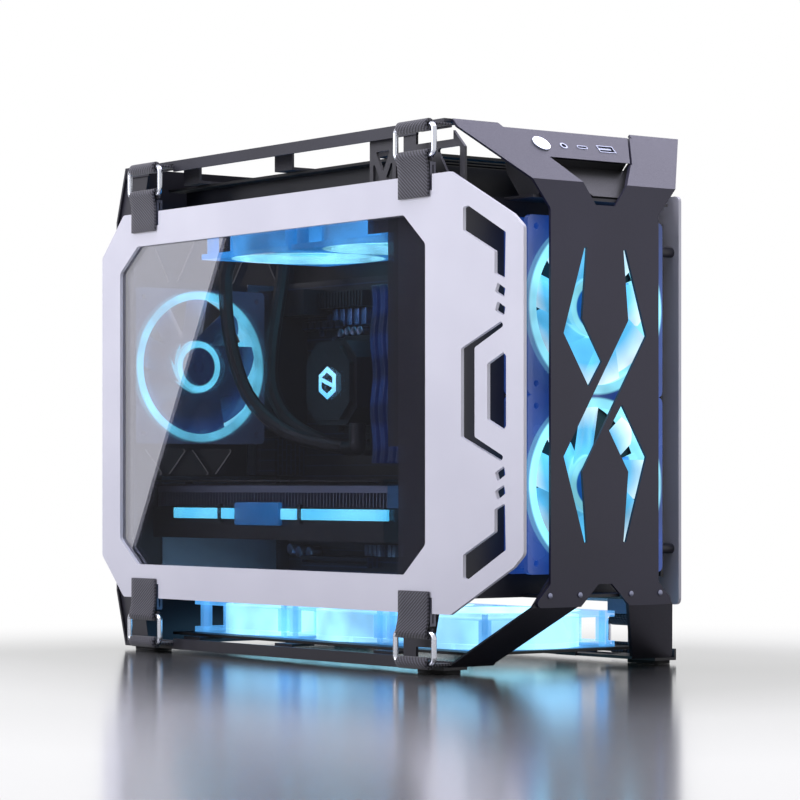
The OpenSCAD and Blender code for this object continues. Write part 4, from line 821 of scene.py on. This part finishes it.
# %% [markdown]
# The case stands on a pale, softly shining floor. Close to the case the floor mirrors it, and its base
# colour is also painted darker there as a painted shadow round the case; further out it fades to plain
# white, as a lit paper sweep does. Two distances drive that: one from a core inside the case's
# footprint, for the painted shadow, and one from a spot in front of it and to the left, for the fade
# to white.

# %% Floor
CORE_HALF_X, CORE_HALF_Y = 0.08, 0.22
FADE_CENTRE = (-0.25, -0.35, 0)
FLOOR_DROP = 0.0002


def outside_core(nodes, links, place, half):
    past = maths(nodes, links, "SUBTRACT", maths(nodes, links, "ABSOLUTE", place), half)
    return maths(nodes, links, "MAXIMUM", past, 0.0)


def distance_from_case(nodes, links):
    where = nodes.new("ShaderNodeTexCoord")
    split = nodes.new("ShaderNodeSeparateXYZ")
    links.new(where.outputs["Object"], split.inputs["Vector"])
    return flat_length(nodes, links, outside_core(nodes, links, split.outputs["X"], CORE_HALF_X),
                       outside_core(nodes, links, split.outputs["Y"], CORE_HALF_Y))


def floor_paint_with_painted_shadow():
    material, nodes, links, shader = finish("pale_floor", "#c9cad2", 0.2, 0.72)
    mottle = grain(nodes, links, place_on(nodes, links), 900, 2)
    gloss = ramp(nodes, links, mottle, [(0.3, grey(0.13)), (0.7, grey(0.19))])
    links.new(gloss, shader.inputs["Roughness"])
    # Painted shadow: the base colour darkens from light grey to near black towards the case's
    # footprint.
    near = distance_from_case(nodes, links)
    tone = ramp(nodes, links, near, [(0.0, grey(0.13)), (0.14, grey(0.23)), (0.34, grey(0.62)),
                                     (0.6, grey(0.84))])
    links.new(tone, shader.inputs["Base Color"])
    white = nodes.new("ShaderNodeEmission")
    white.inputs["Color"].default_value = grey(1.0)
    around = distance_from_axis(nodes, links, FADE_CENTRE, "z")
    blend = nodes.new("ShaderNodeMixShader")
    far = ramp(nodes, links, around, [(0.6, grey(0.0)), (1.0, grey(1.0))])
    links.new(far, blend.inputs["Fac"])
    links.new(shader.outputs["BSDF"], blend.inputs[1])
    links.new(white.outputs["Emission"], blend.inputs[2])
    links.new(blend.outputs["Shader"], nodes["Material Output"].inputs["Surface"])
    return material


bpy.ops.object.select_all(action="DESELECT")
bpy.ops.mesh.primitive_plane_add(size=40, location=(0, 0, -FLOOR_DROP))
floor = bpy.context.object
floor.name = "floor"
floor.data.materials.append(floor_paint_with_painted_shadow())
print("floor laid")

# %% [markdown]
# Glass shows whatever stands around it, so a photographer hangs black cloth just out of sight.
# The first card is what the window mirrors, all but its upper rear corner, and rays that pass
# through the glass meet it too. The second stands close behind the case and keeps white from
# showing through it. The camera itself sees neither.

# %% Dark cards
MIRROR_CARD = ((-0.72, 0.5, 0.0), (-0.72, 1.218, 0.0), (-0.72, 0.5, 0.7), (-0.72, 0.835, 0.7))
REAR_CARD = ((-0.12, 0.3, 0.0), (0.5, 0.3, 0.0), (-0.12, 0.3, 0.42), (0.5, 0.3, 0.42))
RAYS = ("camera", "diffuse", "glossy", "transmission", "shadow")


def dark_card(name, corners, shade, seen_by):
    bpy.ops.object.select_all(action="DESELECT")
    bpy.ops.mesh.primitive_plane_add(size=1, location=(0, 0, 0))
    card = bpy.context.object
    card.name = name
    for v, corner in zip(card.data.vertices, corners):
        v.co = corner
    material, nodes, links, shader = finish(name, "#06060a", 0.9)
    folds = grain(nodes, links, place_on(nodes, links), 3)
    tone = ramp(nodes, links, folds, [(0.3, grey(shade)), (0.7, grey(shade * 1.5))])
    links.new(tone, shader.inputs["Base Color"])
    card.data.materials.append(material)
    for ray in RAYS:
        setattr(card, "visible_" + ray, ray in seen_by)


dark_card("mirror_card", MIRROR_CARD, 0.002, ("glossy", "transmission"))
dark_card("rear_card", REAR_CARD, 0.03, ("transmission",))
print("dark cards hung")

# %% [markdown]
# The surround is white for the camera, for mirrors and through glass, but it gives only a little
# light of its own, so the inside stays dark and the fans show. Three large soft lamps do the rest:
# one on the left and behind, one above the front and one high on the right.

# %% Surround and lamps
ROOM_LIGHT = 0.3
MIDDLE = (0, 0, 0.18)


def studio_world():
    world = bpy.data.worlds.new("studio")
    world.use_nodes = True
    bpy.context.scene.world = world
    nodes = world.node_tree.nodes
    links = world.node_tree.links
    back = nodes["Background"]
    back.inputs["Color"].default_value = colour("#ffffff")
    path = nodes.new("ShaderNodeLightPath")
    seen = path.outputs["Is Camera Ray"]
    for ray in ("Is Transmission Ray", "Is Glossy Ray"):
        seen = maths(nodes, links, "MAXIMUM", seen, path.outputs[ray])
    strength = nodes.new("ShaderNodeMapRange")
    strength.inputs["To Min"].default_value = ROOM_LIGHT
    strength.inputs["To Max"].default_value = 1.0
    links.new(seen, strength.inputs["Value"])
    links.new(strength.outputs["Result"], back.inputs["Strength"])


def soft_lamp(name, place, side, power, tint):
    data = bpy.data.lights.new(name, "AREA")
    data.shape = "RECTANGLE"
    data.size = side
    data.size_y = side
    data.energy = power
    data.color = colour(tint)[:3]
    lamp = bpy.data.objects.new(name, data)
    lamp.location = place
    aim = Vector(MIDDLE) - Vector(place)
    lamp.rotation_euler = aim.to_track_quat("-Z", "Y").to_euler()
    bpy.context.scene.collection.objects.link(lamp)


studio_world()
soft_lamp("left_lamp", (-1.5, 0.6, 0.85), 1.0, 19, "#f3f2ff")
soft_lamp("top_lamp", (-0.3, -0.5, 1.9), 1.4, 28, "#ecebff")
soft_lamp("right_lamp", (1.4, 0.2, 1.7), 1.2, 15, "#e2defc")
print("studio lit")
